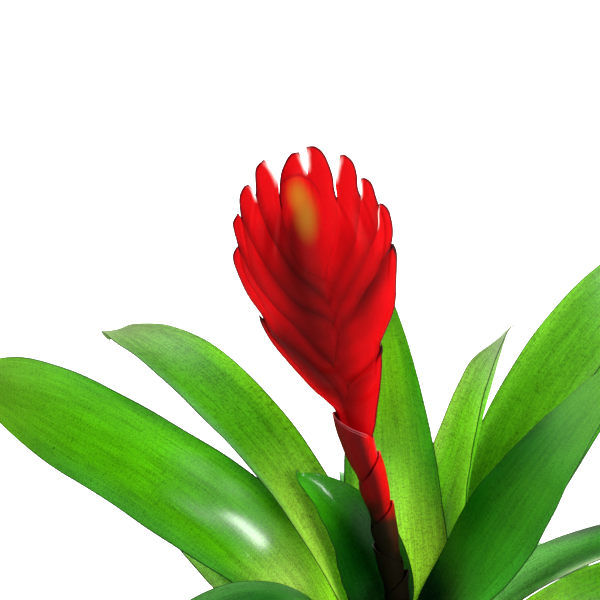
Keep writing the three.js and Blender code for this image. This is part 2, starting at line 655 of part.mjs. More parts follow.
/** The stalk: a closed tapering tube with flat ends. */
function stalkGeometry() {
  const foot = STALK[0][1];
  const top = STALK[STALK.length - 1][1];
  const points = [];
  const triangles = [];
  const ring = (i, j) => i * STALK_SIDES + (j % STALK_SIDES);
  for (let i = 0; i <= STALK_RINGS; i++) {
    const frame = stalkFrame(lerp(foot, top, i / STALK_RINGS));
    if (i === 0) {
      frame.across.set(1, 0, 0); // the foot is cut level, to stand on the stock
    }
    for (let j = 0; j < STALK_SIDES; j++) {
      const angle = (2 * Math.PI * j) / STALK_SIDES;
      const p = roundStalk(frame, frame.radius, frame.radius, angle);
      points.push(p.x, p.y, p.z);
    }
  }
  for (let i = 0; i < STALK_RINGS; i++) {
    for (let j = 0; j < STALK_SIDES; j++) {
      triangles.push([ring(i, j), ring(i + 1, j + 1), ring(i, j + 1)]);
      triangles.push([ring(i, j), ring(i + 1, j), ring(i + 1, j + 1)]);
    }
  }
  for (let j = 1; j < STALK_SIDES - 1; j++) {
    triangles.push([ring(0, 0), ring(0, j), ring(0, j + 1)]);
    triangles.push([ring(STALK_RINGS, 0), ring(STALK_RINGS, j + 1), ring(STALK_RINGS, j)]);
  }
  const geometry = new THREE.BufferGeometry();
  geometry.setAttribute("position", new THREE.Float32BufferAttribute(points, 3));
  geometry.setIndex(triangles.flat());
  geometry.computeVertexNormals();
  return geometry;
}

/** One sheath: it wraps the stalk, and its margins run up to a tip on one side. */
function sheathGeometry([, side, foot, tip, radii, standOff, narrowFrom, flatness]) {
  const columns = 2 * SHEATH_HALF_COLUMNS;
  const grid = [];
  for (let i = 0; i <= SHEATH_ROWS; i++) {
    const t = (i / SHEATH_ROWS) * SHEATH_END;
    const frame = stalkFrame(lerp(foot, tip, t));
    const narrowed = clamp01((t - narrowFrom) / (1 - narrowFrom));
    const wrap = SHEATH_WRAP * (1 - narrowed) ** SHEATH_POINT;
    const radius = sampled(radii, t);
    const deep = radius * lerp(1, flatness, t ** 2);
    const row = [];
    for (let j = 0; j <= columns; j++) {
      const angle = wrap * ((2 * j) / columns - 1);
      const wide = radius + standOff * t ** TIP_LEAN_POWER * Math.max(Math.cos(angle), 0) ** 2;
      row.push(roundStalk(frame, side * wide, side * deep, angle));
    }
    grid.push(row);
  }
  return sheetSolid(grid, gridNormals(grid), () => SHEATH_THICKNESS);
}

// ---- Stock ----

/** The stock: a low cone that stays clear of the leaf bases, with a shoulder above its flat foot. */
function stockGeometry() {
  const clear = SEAT_GAP + BASE_THICKNESS / 2 + STOCK_EASE;
  const outline = [
    [0, 0],
    [STOCK_FOOT_RADIUS, 0],
    [OUTER_RING - clear, STOCK_FOOT_ROUNDING],
  ];
  for (const radius of STOCK_RINGS) {
    const height = STOCK_TOP - (radius - STOCK_TOP_RADIUS) * RING_DROP;
    outline.push([radius - clear, height]);
  }
  outline.push([0, STOCK_TOP]);
  const profile = outline.map(([radius, height]) => new THREE.Vector2(radius, height));
  const geometry = new THREE.LatheGeometry(profile, STOCK_SIDES);
  geometry.rotateX(Math.PI / 2);
  return geometry;
}

// ---- The plant ----

const plant = new THREE.Group();

function addPiece(name, geometry, material) {
  const mesh = new THREE.Mesh(geometry, material.clone());
  mesh.name = name;
  plant.add(mesh);
}

addPiece("root_stock", stockGeometry(), STOCK_BROWN);
for (const row of LEAVES) {
  const leaf = leafOf(row);
  addPiece(leaf.name, leafGeometry(leaf), LEAF_GREEN);
}
addPiece("flower_stalk", stalkGeometry(), STALK_RED);
for (const sheath of SHEATHS) {
  addPiece(sheath[0], sheathGeometry(sheath), SHEATH_RED);
}
for (const bract of BRACTS) {
  addPiece(bract.name, bractGeometry(bract), BRACT_RED);
}

export default plant;
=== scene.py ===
"""Flaming sword bromeliad: the finished leaves, sword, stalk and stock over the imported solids.

Lengths in the tables are millimetres in the part's own frame, and meshes are written in metres.
"""

import logging
import math
from dataclasses import dataclass, field
from enum import Enum
from typing import Iterable

import bpy
import numpy as np
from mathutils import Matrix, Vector


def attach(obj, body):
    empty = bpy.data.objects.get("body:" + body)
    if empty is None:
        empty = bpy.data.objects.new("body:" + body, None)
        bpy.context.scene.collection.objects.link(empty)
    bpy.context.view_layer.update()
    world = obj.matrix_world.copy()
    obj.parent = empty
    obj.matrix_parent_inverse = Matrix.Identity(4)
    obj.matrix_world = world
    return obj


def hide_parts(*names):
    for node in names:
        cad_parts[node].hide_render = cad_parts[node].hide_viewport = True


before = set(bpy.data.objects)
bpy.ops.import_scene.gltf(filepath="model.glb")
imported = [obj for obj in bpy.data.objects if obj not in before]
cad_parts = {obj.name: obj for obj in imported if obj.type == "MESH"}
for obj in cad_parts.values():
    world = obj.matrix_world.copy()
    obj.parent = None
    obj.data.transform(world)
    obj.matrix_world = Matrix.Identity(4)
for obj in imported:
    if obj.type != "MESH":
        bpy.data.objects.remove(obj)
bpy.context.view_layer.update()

LOG = logging.getLogger("bromeliad")
MM = 0.001
Colour = tuple[float, float, float]
Points = np.ndarray


# ---- Small helpers ----

SPAN_STEPS = 12


def ease(x: Points | float) -> Points:
    """A smooth step from 0 to 1 as x goes from 0 to 1."""
    c = np.clip(x, 0.0, 1.0)
    return c * c * (3.0 - 2.0 * c)


def screen(red: float, green: float, blue: float) -> Colour:
    """A colour from its values on a screen, 0 to 255."""
    parts = (value / 255.0 for value in (red, green, blue))
    return tuple(v / 12.92 if v <= 0.04045 else ((v + 0.055) / 1.055) ** 2.4 for v in parts)


def smooth_curve(points: Iterable[Iterable[float]], steps: int) -> Points:
    """A smooth curve through control points, cut at equal lengths in its first two columns.

    Args:
        points: The control points, as rows of any width.
        steps: How many pieces to cut it into.

    Returns:
        The curve's points, steps + 1 rows.
    """
    p = np.asarray(points, float)
    run = np.vstack([2 * p[0] - p[1], p, 2 * p[-1] - p[-2]])
    t = (np.arange(SPAN_STEPS) / SPAN_STEPS)[:, None]
    spans = []
    for a, b, c, d in zip(run[:-3], run[1:-2], run[2:-1], run[3:]):
        bend = 2 * a - 5 * b + 4 * c - d
        spans.append(0.5 * (2 * b + (c - a) * t + bend * t**2 + (3 * b - a - 3 * c + d) * t**3))
    line = np.vstack([*spans, p[-1:]])
    lengths = np.r_[0.0, np.cumsum(np.hypot(*np.diff(line[:, :2], axis=0).T))]
    wanted = np.linspace(0.0, lengths[-1], steps + 1)
    return np.stack([np.interp(wanted, lengths, column) for column in line.T], -1)


def at_share(curve: Points, share: Points | float) -> Points:
    """The curve's point or points at a share of its length."""
    where = np.clip(share, 0.0, 1.0) * (len(curve) - 1)
    return np.stack([np.interp(where, np.arange(len(curve)), column) for column in curve.T], -1)


def distance_to(points: Points, line: Points) -> Points:
    """Shortest distance from each point to a polyline in the plane.

    Args:
        points: Rows of two values.
        line: The polyline's corners.

    Returns:
        One distance a row.
    """
    start, step = line[:-1], np.diff(line, axis=0)
    square = np.maximum((step**2).sum(1), 1e-9)
    share = ((points[:, None] - start) * step).sum(-1) / square
    nearest = start + step * np.clip(share, 0.0, 1.0)[..., None]
    return np.sqrt(((points[:, None] - nearest) ** 2).sum(-1)).min(1)


def inside(points: Points, outline: Points) -> Points:
    """Which points of the plane lie inside a closed outline.

    Args:
        points: Rows of two values.
        outline: The outline's corners, the last joined to the first.

    Returns:
        A truth value a row.
    """
    x, y = points[:, :1], points[:, 1:2]
    x0, y0 = outline.T
    x1, y1 = np.roll(x0, -1), np.roll(y0, -1)
    crossed = (y0 > y) != (y1 > y)
    at = x0 + (y - y0) * (x1 - x0) / np.where(y1 == y0, 1e-9, y1 - y0)
    return (crossed & (x < at)).sum(1) % 2 == 1


def grid_normals(grid: Points) -> Points:
    """Unit normals of a grid of points, rows by columns by three."""
    normal = np.cross(np.gradient(grid, axis=0), np.gradient(grid, axis=1))
    return normal / np.maximum(np.linalg.norm(normal, axis=-1, keepdims=True), 1e-9)


# ---- Meshes ----


def add_object(name: str, data: bpy.types.ID) -> bpy.types.Object:
    """Puts a mesh, a lamp or a camera in the scene.

    Args:
        name: The object's name.
        data: The mesh, lamp or camera.

    Returns:
        The object.
    """
    made = bpy.data.objects.new(name, data)
    bpy.context.scene.collection.objects.link(made)
    return made


def new_mesh(name: str, points: Points, faces: list[tuple[int, ...]]) -> bpy.types.Mesh:
    """A mesh with smooth quads.

    Args:
        name: Its name.
        points: Its points, in millimetres.
        faces: The points of each face.

    Returns:
        The mesh.
    """
    mesh = bpy.data.meshes.new(name)
    mesh.from_pydata((points * MM).tolist(), [], faces)
    mesh.update()
    mesh.polygons.foreach_set("use_smooth", np.array([len(face) == 4 for face in faces]))
    return mesh


def paint_points(mesh: bpy.types.Mesh, name: str, values: Points) -> None:
    """Keeps one number for each point of a mesh."""
    layer = mesh.attributes.new(name, "FLOAT", "POINT")
    layer.data.foreach_set("value", values.astype(np.float32))


@dataclass
class Sheet:
    """A grid of middle points, thickened both ways into one closed shell."""

    middle: Points
    normal: Points
    thickness: Points
    paint: dict[str, Points]
    place: tuple[Points, Points]

    def faces(self) -> list[tuple[int, int, int, int]]:
        """The shell's quads: both faces and the rim that joins them.

        Returns:
            The four points of each quad.
        """
        rows, columns = self.middle.shape[:2]
        back = rows * columns
        at = np.arange(back).reshape(rows, columns)
        a, b, c, d = at[:-1, :-1], at[1:, :-1], at[1:, 1:], at[:-1, 1:]
        front = np.stack([a, b, c, d], -1).reshape(-1, 4)
        behind = np.stack([a, d, c, b], -1).reshape(-1, 4) + back
        rim = np.concatenate([at[:, 0], at[-1, 1:], at[-2::-1, -1], at[0, -2::-1]])
        joined = np.stack([rim[:-1], rim[:-1] + back, rim[1:] + back, rim[1:]], -1)
        return [tuple(quad) for quad in np.vstack([front, behind, joined]).tolist()]

    def build(self, name: str) -> bpy.types.Object:
        """Makes the shell's object.

        Args:
            name: The piece's name.

        Returns:
            The object, linked to the scene and riding on nothing yet.
        """
        half = self.normal * (self.thickness / 2)[..., None]
        sides = [(self.middle + half).reshape(-1, 3), (self.middle - half).reshape(-1, 3)]
        mesh = new_mesh(name, np.vstack(sides), self.faces())
        for key, values in self.paint.items():
            paint_points(mesh, key, np.tile(values.reshape(-1), 2))
        self.mark_rim(mesh)
        self.add_place(mesh)
        return add_object(name, mesh)

    def mark_rim(self, mesh: bpy.types.Mesh) -> None:
        """Keeps the shading crisp along the shell's rim.

        Args:
            mesh: The shell's mesh.
        """
        border = np.zeros(self.middle.shape[:2], bool)
        border[[0, -1], :] = border[:, [0, -1]] = True
        count = border.size
        border = np.tile(border.reshape(-1), 2)
        ends = np.zeros(len(mesh.edges) * 2, np.int32)
        mesh.edges.foreach_get("vertices", ends)
        start, end = ends.reshape(-1, 2).T
        sharp = border[start] & border[end] & ((start < count) == (end < count))
        mesh.attributes.new("sharp_edge", "BOOLEAN", "EDGE").data.foreach_set("value", sharp)

    def add_place(self, mesh: bpy.types.Mesh) -> None:
        """Lays the sheet's own two coordinates on it as a map.

        Args:
            mesh: The shell's mesh.
        """
        across, along = (np.tile(v.reshape(-1), 2) for v in self.place)
        corners = np.zeros(len(mesh.loops), np.int32)
        mesh.loops.foreach_get("vertex_index", corners)
        values = np.stack([across[corners], along[corners]], -1).astype(np.float32)
        mesh.uv_layers.new(name="place").data.foreach_set("uv", values.reshape(-1))


def tube(
    name: str, middles: Points, frames: Points, radii: Points, sides: int
) -> bpy.types.Object:
    """A closed tube with flat ends.

    Args:
        name: The piece's name.
        middles: Ring centres, in millimetres.
        frames: Two unit directions across the tube for each ring.
        radii: Radius at each ring and side.
        sides: Points round a ring.

    Returns:
        The object.
    """
    angle = np.linspace(0.0, 2 * math.pi, sides, endpoint=False)
    turn = angle[None, :, None]
    outwards = np.cos(turn) * frames[:, None, 0] + np.sin(turn) * frames[:, None, 1]
    points = (middles[:, None] + outwards * radii[..., None]).reshape(-1, 3)
    rings = len(middles)
    faces = []
    for low in range(0, (rings - 1) * sides, sides):
        for j in range(sides):
            k = (j + 1) % sides
            faces.append((low + j, low + k, low + sides + k, low + sides + j))
    faces.append(tuple(reversed(range(sides))))
    faces.append(tuple(range((rings - 1) * sides, rings * sides)))
    mesh = new_mesh(name, points, faces)
    # Which side of the ring each point faces, for the stalk's painted light and shade.
    paint_points(mesh, "flank", np.tile(np.cos(angle), rings))
    return add_object(name, mesh)


# ---- Node helpers and shared effects ----


@dataclass(frozen=True)
class Signal:
    """The value of one socket, which further values can be reckoned from."""

    wiring: "Wiring"
    socket: bpy.types.NodeSocket

    def __add__(self, other: "Value") -> "Signal":
        """This and the other together."""
        return self.wiring.math("ADD", self, other)

    def __sub__(self, other: "Value") -> "Signal":
        """This less the other."""
        return self.wiring.math("SUBTRACT", self, other)

    def __rsub__(self, other: "Value") -> "Signal":
        """The other less this."""
        return self.wiring.math("SUBTRACT", other, self)

    def __mul__(self, other: "Value") -> "Signal":
        """This times the other."""
        return self.wiring.math("MULTIPLY", self, other)

    def __truediv__(self, other: "Value") -> "Signal":
        """This divided by the other."""
        return self.wiring.math("DIVIDE", self, other)

    def __abs__(self) -> "Signal":
        """This without its sign."""
        return self.wiring.math("ABSOLUTE", self)


Value = Signal | Colour | float


@dataclass(frozen=True)
class Grain:
    """A noise: how dense it is along each axis, how many finer layers it has, and how rough."""

    density: tuple[float, float, float]
    detail: float
    rough: float


# Noises over a leaf or a bract: across it and along it to the millimetre, and by its seed.
FINE_FIBRES = Grain((2.0, 0.05, 1.0), 4.0, 0.6)
BROAD_FIBRES = Grain((0.35, 0.02, 1.0), 2.0, 0.5)
CELLS = Grain((2.5, 1.25, 1.0), 3.0, 0.7)
CROSS_RIBS = Grain((0.25, 0.85, 1.0), 2.0, 0.6)
CLOUDS = Grain((0.06, 0.025, 1.0), 3.0, 0.5)
SPECKS_PER_MM = 0.09

# Noises over the stock and the stalk, to the metre.
STOCK_STRANDS = Grain((900.0, 900.0, 90.0), 6.0, 0.65)
STOCK_LUMPS = Grain((140.0, 140.0, 220.0), 4.0, 0.55)
STALK_STRANDS = Grain((1500.0, 1500.0, 120.0), 4.0, 0.6)
STALK_BLOTCHES = Grain((160.0, 160.0, 110.0), 3.0, 0.5)

# Painted light and shade of the bracts: what each bract behind a bract leaves of the light painted
# into its colour, and how far in millimetres and how much the painted shade of the sword's core,
# beside the next bract's margin and along its own margin darkens it.
LIGHT_PER_LAYER = 0.78
CORE_REACH, CORE_SHADE = 16.5, 0.7
NEXT_REACH, NEXT_SHADE = 4.2, 0.5
MARGIN_REACH, MARGIN_SHADE = 3.0, 0.3

# Spots of the sword's plane where the glow of the young flowers through the bracts and the shadow
# arc of a hidden tip are painted: across, up and the two half sizes, in millimetres.
UPPER_BUD = (-7.5, 109.0, 4.6, 8.0)
LOWER_BUD = (-5.2, 100.0, 5.4, 12.5)
HIDDEN_TIP = (-7.4, 103.2, 9.4, 14.2)

# What the leaf's patterns add to its shade or take from it, how dark its rim and specks are, and
# what the light through it takes from the glow.
BASE_SHADE, FIBRE_SHADE, CLOUD_SHADE, CELL_SHADE = 0.92, 0.42, 0.18, 0.6
RIM_DARKNESS, GLOW_SHARE = 0.85, 0.45
WAX_IOR = 1.8


class Wiring:
    """Adds nodes to a tree and joins them."""

    def __init__(self, tree: bpy.types.NodeTree) -> None:
        """Works on one node tree."""
        self.tree = tree

    def feed(self, socket: bpy.types.NodeSocket, value: Value) -> None:
        """Links a signal to an input socket, or sets the socket's own value.

        Args:
            socket: The input socket.
            value: A signal, a number, or a colour or vector of three numbers.
        """
        if isinstance(value, Signal):
            self.tree.links.new(value.socket, socket)
        elif isinstance(value, (int, float)) or socket.type == "VECTOR":
            socket.default_value = value
        else:
            socket.default_value = (*value, 1.0)

    def fill(self, node: bpy.types.Node, inputs: dict[str | int, Value]) -> None:
        """Feeds a node's inputs, given by number or by name with underscores for spaces."""
        for key, value in inputs.items():
            self.feed(node.inputs[key.replace("_", " ") if isinstance(key, str) else key], value)

    def node(
        self, kind: str, settings: dict[str, object] | None = None, *values: Value, **inputs: Value
    ) -> bpy.types.Node:
        """Adds a node.

        Args:
            kind: The node's type name.
            settings: Properties to set on it.
            *values: What its first inputs get, in their order.
            **inputs: What other inputs get, by name.

        Returns:
            The node.
        """
        made = self.tree.nodes.new(kind)
        for key, value in (settings or {}).items():
            setattr(made, key, value)
        self.fill(made, dict(enumerate(values)))
        self.fill(made, inputs)
        return made

    def signals(self, node: bpy.types.Node) -> list[Signal]:
        """All that a node puts out."""
        return [Signal(self, socket) for socket in node.outputs]

    def math(self, operation: str, a: Value, b: Value = 0.0) -> Signal:
        """What a Math node makes of one value or two."""
        return self.signals(self.node("ShaderNodeMath", {"operation": operation}, a, b))[0]

    def step(self, value: Value, low: float, high: float) -> Signal:
        """A smooth step from 0 to 1 as the value goes from low to high."""
        smooth = {"interpolation_type": "SMOOTHSTEP"}
        return self.signals(self.node("ShaderNodeMapRange", smooth, value, low, high))[0]

    def blend(self, share: Value, a: Value, b: Value, mode: str = "MIX") -> Signal:
        """A mix of two colours: the first at share 0, the second at share 1.

        Args:
            share: How much of the second there is.
            a: The first colour.
            b: The second colour.
            mode: How they mix.

        Returns:
            The mixed colour.
        """
        made = self.node("ShaderNodeMix", {"data_type": "RGBA", "blend_type": mode})
        self.fill(made, {0: share, 6: a, 7: b})
        return self.signals(made)[2]

    def noise(self, place: Value, grain: Grain) -> Signal:
        """A noise over a place vector, 0 to 1.

        Args:
            place: The place vector.
            grain: How fine and how rough the noise is.

        Returns:
            The noise.
        """
        scaled = self.node("ShaderNodeVectorMath", {"operation": "MULTIPLY"}, place, grain.density)
        made = self.node(
            "ShaderNodeTexNoise", Vector=self.signals(scaled)[0], Scale=1.0, Detail=grain.detail,
            Roughness=grain.rough,
        )
        return self.signals(made)[0]

    def split(self, vector: Signal) -> list[Signal]:
        """The three parts of a vector."""
        return self.signals(self.node("ShaderNodeSeparateXYZ", Vector=vector))

    def grey(self, value: Signal) -> Signal:
        """A grey as bright as the value."""
        made = self.node("ShaderNodeCombineColor", Red=value, Green=value, Blue=value)
        return self.signals(made)[0]

    def painted(self, name: str) -> Signal:
        """A number painted on the mesh."""
        made = self.node("ShaderNodeAttribute", {"attribute_name": name})
        return Signal(self, made.outputs["Fac"])

    def place_on_sheet(self) -> Signal:
        """The share of the way across a sheet and along it, as a vector."""
        return self.signals(self.node("ShaderNodeUVMap", {"uv_map": "place"}))[0]

    def place_in_plant(self) -> Signal:
        """The place in the plant, in metres, as a vector."""
        return Signal(self, self.node("ShaderNodeNewGeometry").outputs["Position"])


NUMBER, COLOUR, VECTOR = "NodeSocketFloat", "NodeSocketColor", "NodeSocketVector"


class Effects:
    """The shared effects: node groups, each made the first time that it is asked for."""

    made: dict[str, bpy.types.NodeTree] = {}

    @classmethod
    def use(cls, wiring: Wiring, name: str, **inputs: Value) -> dict[str, Signal]:
        """Places an effect in a material.

        Args:
            wiring: The material's wiring.
            name: The effect's method name.
            **inputs: What its inputs get, by name.

        Returns:
            What it puts out, by name.
        """
        if name not in cls.made:
            cls.made[name] = getattr(cls, name)()
        placed = wiring.node("ShaderNodeGroup", {"node_tree": cls.made[name]}, **inputs)
        return {signal.socket.name: signal for signal in wiring.signals(placed)}

    @staticmethod
    def group(
        name: str, inputs: dict[str, str], outputs: dict[str, str]
    ) -> tuple[Wiring, list[Signal]]:
        """Makes a group with nothing but its sockets.

        Args:
            name: The group's name.
            inputs: The type of each input, by name.
            outputs: The type of each output, by name.

        Returns:
            The wiring of its tree, and the signals of its inputs.
        """
        tree = bpy.data.node_groups.new(name, "ShaderNodeTree")
        for way, sockets in (("INPUT", inputs), ("OUTPUT", outputs)):
            for key, kind in sockets.items():
                tree.interface.new_socket(key, in_out=way, socket_type=kind)
        wiring = Wiring(tree)
        return wiring, wiring.signals(wiring.node("NodeGroupInput"))[: len(inputs)]

    @classmethod
    def fibres(cls) -> bpy.types.NodeTree:
        """Fine lengthwise fibres, a stipple of small cells, soft clouds and rare specks.

        Returns:
            The group's tree.
        """
        w, (place, width, length, seed) = cls.group(
            "fibres",
            {"Place": VECTOR, "Width": NUMBER, "Length": NUMBER, "Seed": NUMBER},
            {"Fibre": NUMBER, "Stipple": NUMBER, "Cloud": NUMBER, "Speck": NUMBER},
        )
        across, along, _ = w.split(place)
        spread = w.node("ShaderNodeCombineXYZ", None, across * width, along * length, seed)
        where = w.signals(spread)[0]
        fine, broad = w.noise(where, FINE_FIBRES), w.noise(where, BROAD_FIBRES)
        cells, ribs = w.noise(where, CELLS), w.noise(where, CROSS_RIBS)
        dots = w.node(
            "ShaderNodeTexVoronoi", {"feature": "F1"}, Vector=where, Scale=SPECKS_PER_MM
        )
        away, lot = Signal(w, dots.outputs["Distance"]), Signal(w, dots.outputs["Color"])
        chosen = w.signals(w.node("ShaderNodeSeparateColor", Color=lot))[0]
        w.node(
            "NodeGroupOutput",
            Fibre=fine * 0.7 + broad * 0.3,
            Stipple=w.step(cells, 0.46, 0.64) + w.step(ribs, 0.52, 0.7) * 0.35,
            Cloud=w.noise(where, CLOUDS),
            Speck=w.step(away, 0.065, 0.03) * w.math("GREATER_THAN", chosen, 0.8),
        )
        return w.tree

    @classmethod
    def layers(cls) -> bpy.types.NodeTree:
        """The bract's painted light and shade: less light through it over others, painted shade in
        the sword's core and beside a margin.

        Returns:
            The group's tree.
        """
        numbers = dict.fromkeys(("Stack", "Core", "Shade", "Margin", "Folds", "Fibre"), NUMBER)
        w, (stack, core, shade, margin, fold_shade, fibre) = cls.group(
            "layers", numbers, {"Tone": NUMBER}
        )

        def darkened(distance: Signal, reach: float, strength: float, share: Value) -> Signal:
            """Painted shade: 1 far away, and less by strength where the distance is 0."""
            return 1.0 - w.step(distance, reach, 0.0) * share * strength

        behind = w.math("MAXIMUM", stack + (fibre - 0.5) * 0.9 - 1.0, 0.0)
        backed = w.step(stack, 1.0, 2.0) * fold_shade
        tone = w.math("POWER", LIGHT_PER_LAYER, behind)
        tone = tone * darkened(core, CORE_REACH, CORE_SHADE, 1.0)
        tone = tone * darkened(shade, NEXT_REACH, NEXT_SHADE, fold_shade)
        tone = tone * darkened(margin, MARGIN_REACH, MARGIN_SHADE, backed)
        w.node("NodeGroupOutput", Tone=tone)
        return w.tree

    @classmethod
    def bud_light(cls) -> bpy.types.NodeTree:
        """The young flowers' painted glow through the top of the sword, and a hidden tip's painted
        shadow arc.

        Returns:
            The group's tree.
        """
        w, (across, up) = cls.group(
            "bud_light",
            {"Across": NUMBER, "Up": NUMBER},
            {"Upper": NUMBER, "Lower": NUMBER, "Arc": NUMBER},
        )

        def away(x: float, y: float, wide: float, tall: float) -> Signal:
            """Distance from a spot of the sword's plane, as a share of its half sizes."""
            aside, above = (across - x) / wide, (up - y) / tall
            return w.math("SQRT", aside * aside + above * above)

        dome = abs(away(*HIDDEN_TIP) - 1.0)
        w.node(
            "NodeGroupOutput",
            Upper=w.step(away(*UPPER_BUD), 1.2, 0.0) * 0.74,
            Lower=w.step(away(*LOWER_BUD), 1.25, 0.0) * 0.84,
            Arc=w.step(dome, 0.09, 0.0) * w.step(up, 103.0, 112.0),
        )
        return w.tree

    @classmethod
    def bark(cls) -> bpy.types.NodeTree:
        """Rough fibrous brown skin.

        Returns:
            The group's tree.
        """
        w, (place, dark, light) = cls.group(
            "bark",
            {"Place": VECTOR, "Dark": COLOUR, "Light": COLOUR},
            {"Colour": COLOUR, "Height": NUMBER},
        )
        mixed = w.noise(place, STOCK_STRANDS) * 0.6 + w.noise(place, STOCK_LUMPS) * 0.4
        colour = w.blend(w.step(mixed, 0.38, 0.62), dark, light)
        w.node("NodeGroupOutput", Colour=colour, Height=mixed)
        return w.tree


class Skin:
    """A material in the making: a Principled shader, its wiring and its output."""

    def __init__(self, name: str) -> None:
        """Starts a material of that name.

        Args:
            name: The material's name.
        """
        self.material = bpy.data.materials.new(name)
        self.material.use_nodes = True
        self.material.node_tree.nodes.clear()
        self.wiring = Wiring(self.material.node_tree)
        self.shader = self.wiring.node("ShaderNodeBsdfPrincipled")
        self.shine = self.wiring.signals(self.shader)[0]
        self.output = self.wiring.node("ShaderNodeOutputMaterial", Surface=self.shine)

    def set(self, **inputs: Value) -> None:
        """Feeds inputs of the Principled shader, by name."""
        self.wiring.fill(self.shader, inputs)

    def let_light_through(self, colour: Value, share: float) -> None:
        """Mixes in light that comes through thin tissue from behind.

        Args:
            colour: The colour of the light that comes through.
            share: How much of the light goes through.
        """
        w = self.wiring
        through = w.signals(w.node("ShaderNodeBsdfTranslucent", Color=colour))[0]
        mixed = w.node("ShaderNodeMixShader", None, share, self.shine, through)
        w.fill(self.output, {"Surface": w.signals(mixed)[0]})

    def bump(self, height: Value, depth: float) -> None:
        """Raises the surface by the height times a depth in metres."""
        made = self.wiring.node("ShaderNodeBump", Height=height, Strength=1.0, Distance=depth)
        self.set(Normal=self.wiring.signals(made)[0])


@dataclass(frozen=True)
class LeafFinish:
    """Living leaf: green, another tone towards each margin, with light that comes through.

    The tones run from the foot over the blade to the tip; first and last are the two margins, with
    their reach as a share of the width. The tones hold painted light and shade besides the leaf's
    own
    green: a paler foot is painted light coming through it, darker margin tones are partly painted
    shade across the channelled blade, and a dark blade is partly painted shade on a leaf in shade.
    Wax is a sheen between two shares of the length, round a middle at a share of the width.
    """

    foot: Colour = screen(96, 170, 30)
    blade: Colour = screen(72, 154, 26)
    tip: Colour = screen(90, 168, 40)
    first: Colour = screen(46, 128, 22)
    last: Colour = screen(46, 128, 22)
    first_reach: float = 0.25
    last_reach: float = 0.25
    foot_end: float = 0.4
    tip_from: float = 0.65
    glow: Colour = (0.46, 0.85, 0.06)
    share: float = 0.4
    edge: Colour = (0.012, 0.035, 0.006)
    roughness: float = 0.34
    gloss: float = 0.22
    relief: float = 0.0001
    wax: float = 0.0
    wax_roughness: float = 0.25
    wax_from: float = 0.0
    wax_to: float = 1.0
    wax_middle: float = 0.5
    wax_reach: float = 0.6

    def green(self, w: Wiring, across: Signal, along: Signal) -> Signal:
        """The leaf's tone at a place, with its painted light and shade, before its fine pattern.

        Args:
            w: The material's wiring.
            across: 0 at one margin and 1 at the other.
            along: 0 at the base and 1 at the tip.

        Returns:
            The colour.
        """
        tone = w.blend(w.step(along, 0.08, self.foot_end), self.foot, self.blade)
        on_blade = w.step(along, 0.1, self.foot_end) * w.step(along, 1.0, self.tip_from)
        near_first = w.step(across, self.first_reach, 0.0) * on_blade
        near_last = w.step(across, 1.0 - self.last_reach, 1.0) * on_blade
        tone = w.blend(near_last, w.blend(near_first, tone, self.first), self.last)
        return w.blend(w.step(along, self.tip_from, 0.97), tone, self.tip)

    def waxed(self, w: Wiring, across: Signal, along: Signal) -> Signal:
        """Where the leaf is waxy.

        Args:
            w: The material's wiring.
            across: 0 at one margin and 1 at the other.
            along: 0 at the base and 1 at the tip.

        Returns:
            The strength of the wax.
        """
        fade = 0.07
        begun = w.step(along, self.wax_from - fade, self.wax_from + fade)
        ended = w.step(along, self.wax_to + fade, self.wax_to - fade)
        near = w.step(abs(across - self.wax_middle), self.wax_reach, self.wax_reach * 0.5)
        return begun * ended * near * self.wax

    def material(self, name: str, seed: float, width: float, length: float) -> bpy.types.Material:
        """Builds the material.

        Args:
            name: Its name.
            seed: Sets this leaf's own pattern.
            width: The leaf's width in millimetres.
            length: The leaf's length in millimetres.

        Returns:
            The material.
        """
        skin = Skin(name)
        w = skin.wiring
        place = w.place_on_sheet()
        tissue = Effects.use(w, "fibres", Place=place, Width=width, Length=length, Seed=seed)
        fibre, stipple = tissue["Fibre"], tissue["Stipple"]
        across, along, _ = w.split(place)
        shade = w.step(fibre, 0.35, 0.65) * FIBRE_SHADE + BASE_SHADE
        shade = shade + w.step(tissue["Cloud"], 0.3, 0.7) * CLOUD_SHADE
        grey = w.grey(shade - stipple * CELL_SHADE)
        to_margin = (1.0 - abs(across * 2.0 - 1.0)) * (width / 2.0)
        dark = w.math("MAXIMUM", w.step(to_margin, 0.6, 0.25), tissue["Speck"]) * RIM_DARKNESS
        tone = w.blend(1.0, self.green(w, across, along), grey, "MULTIPLY")
        skin.set(
            Base_Color=w.blend(dark, tone, self.edge),
            Roughness=fibre * 0.12 + (self.roughness - 0.06),
            Specular_IOR_Level=self.gloss,
        )
        if self.wax:
            wax = self.waxed(w, across, along)
            skin.set(Coat_Weight=wax, Coat_Roughness=self.wax_roughness, Coat_IOR=WAX_IOR)
        lit = w.blend(GLOW_SHARE, tone, w.blend(1.0, self.glow, grey, "MULTIPLY"))
        skin.let_light_through(w.blend(dark, lit, self.edge), self.share)
        skin.bump(fibre - stipple * 0.12, self.relief)
        return skin.material


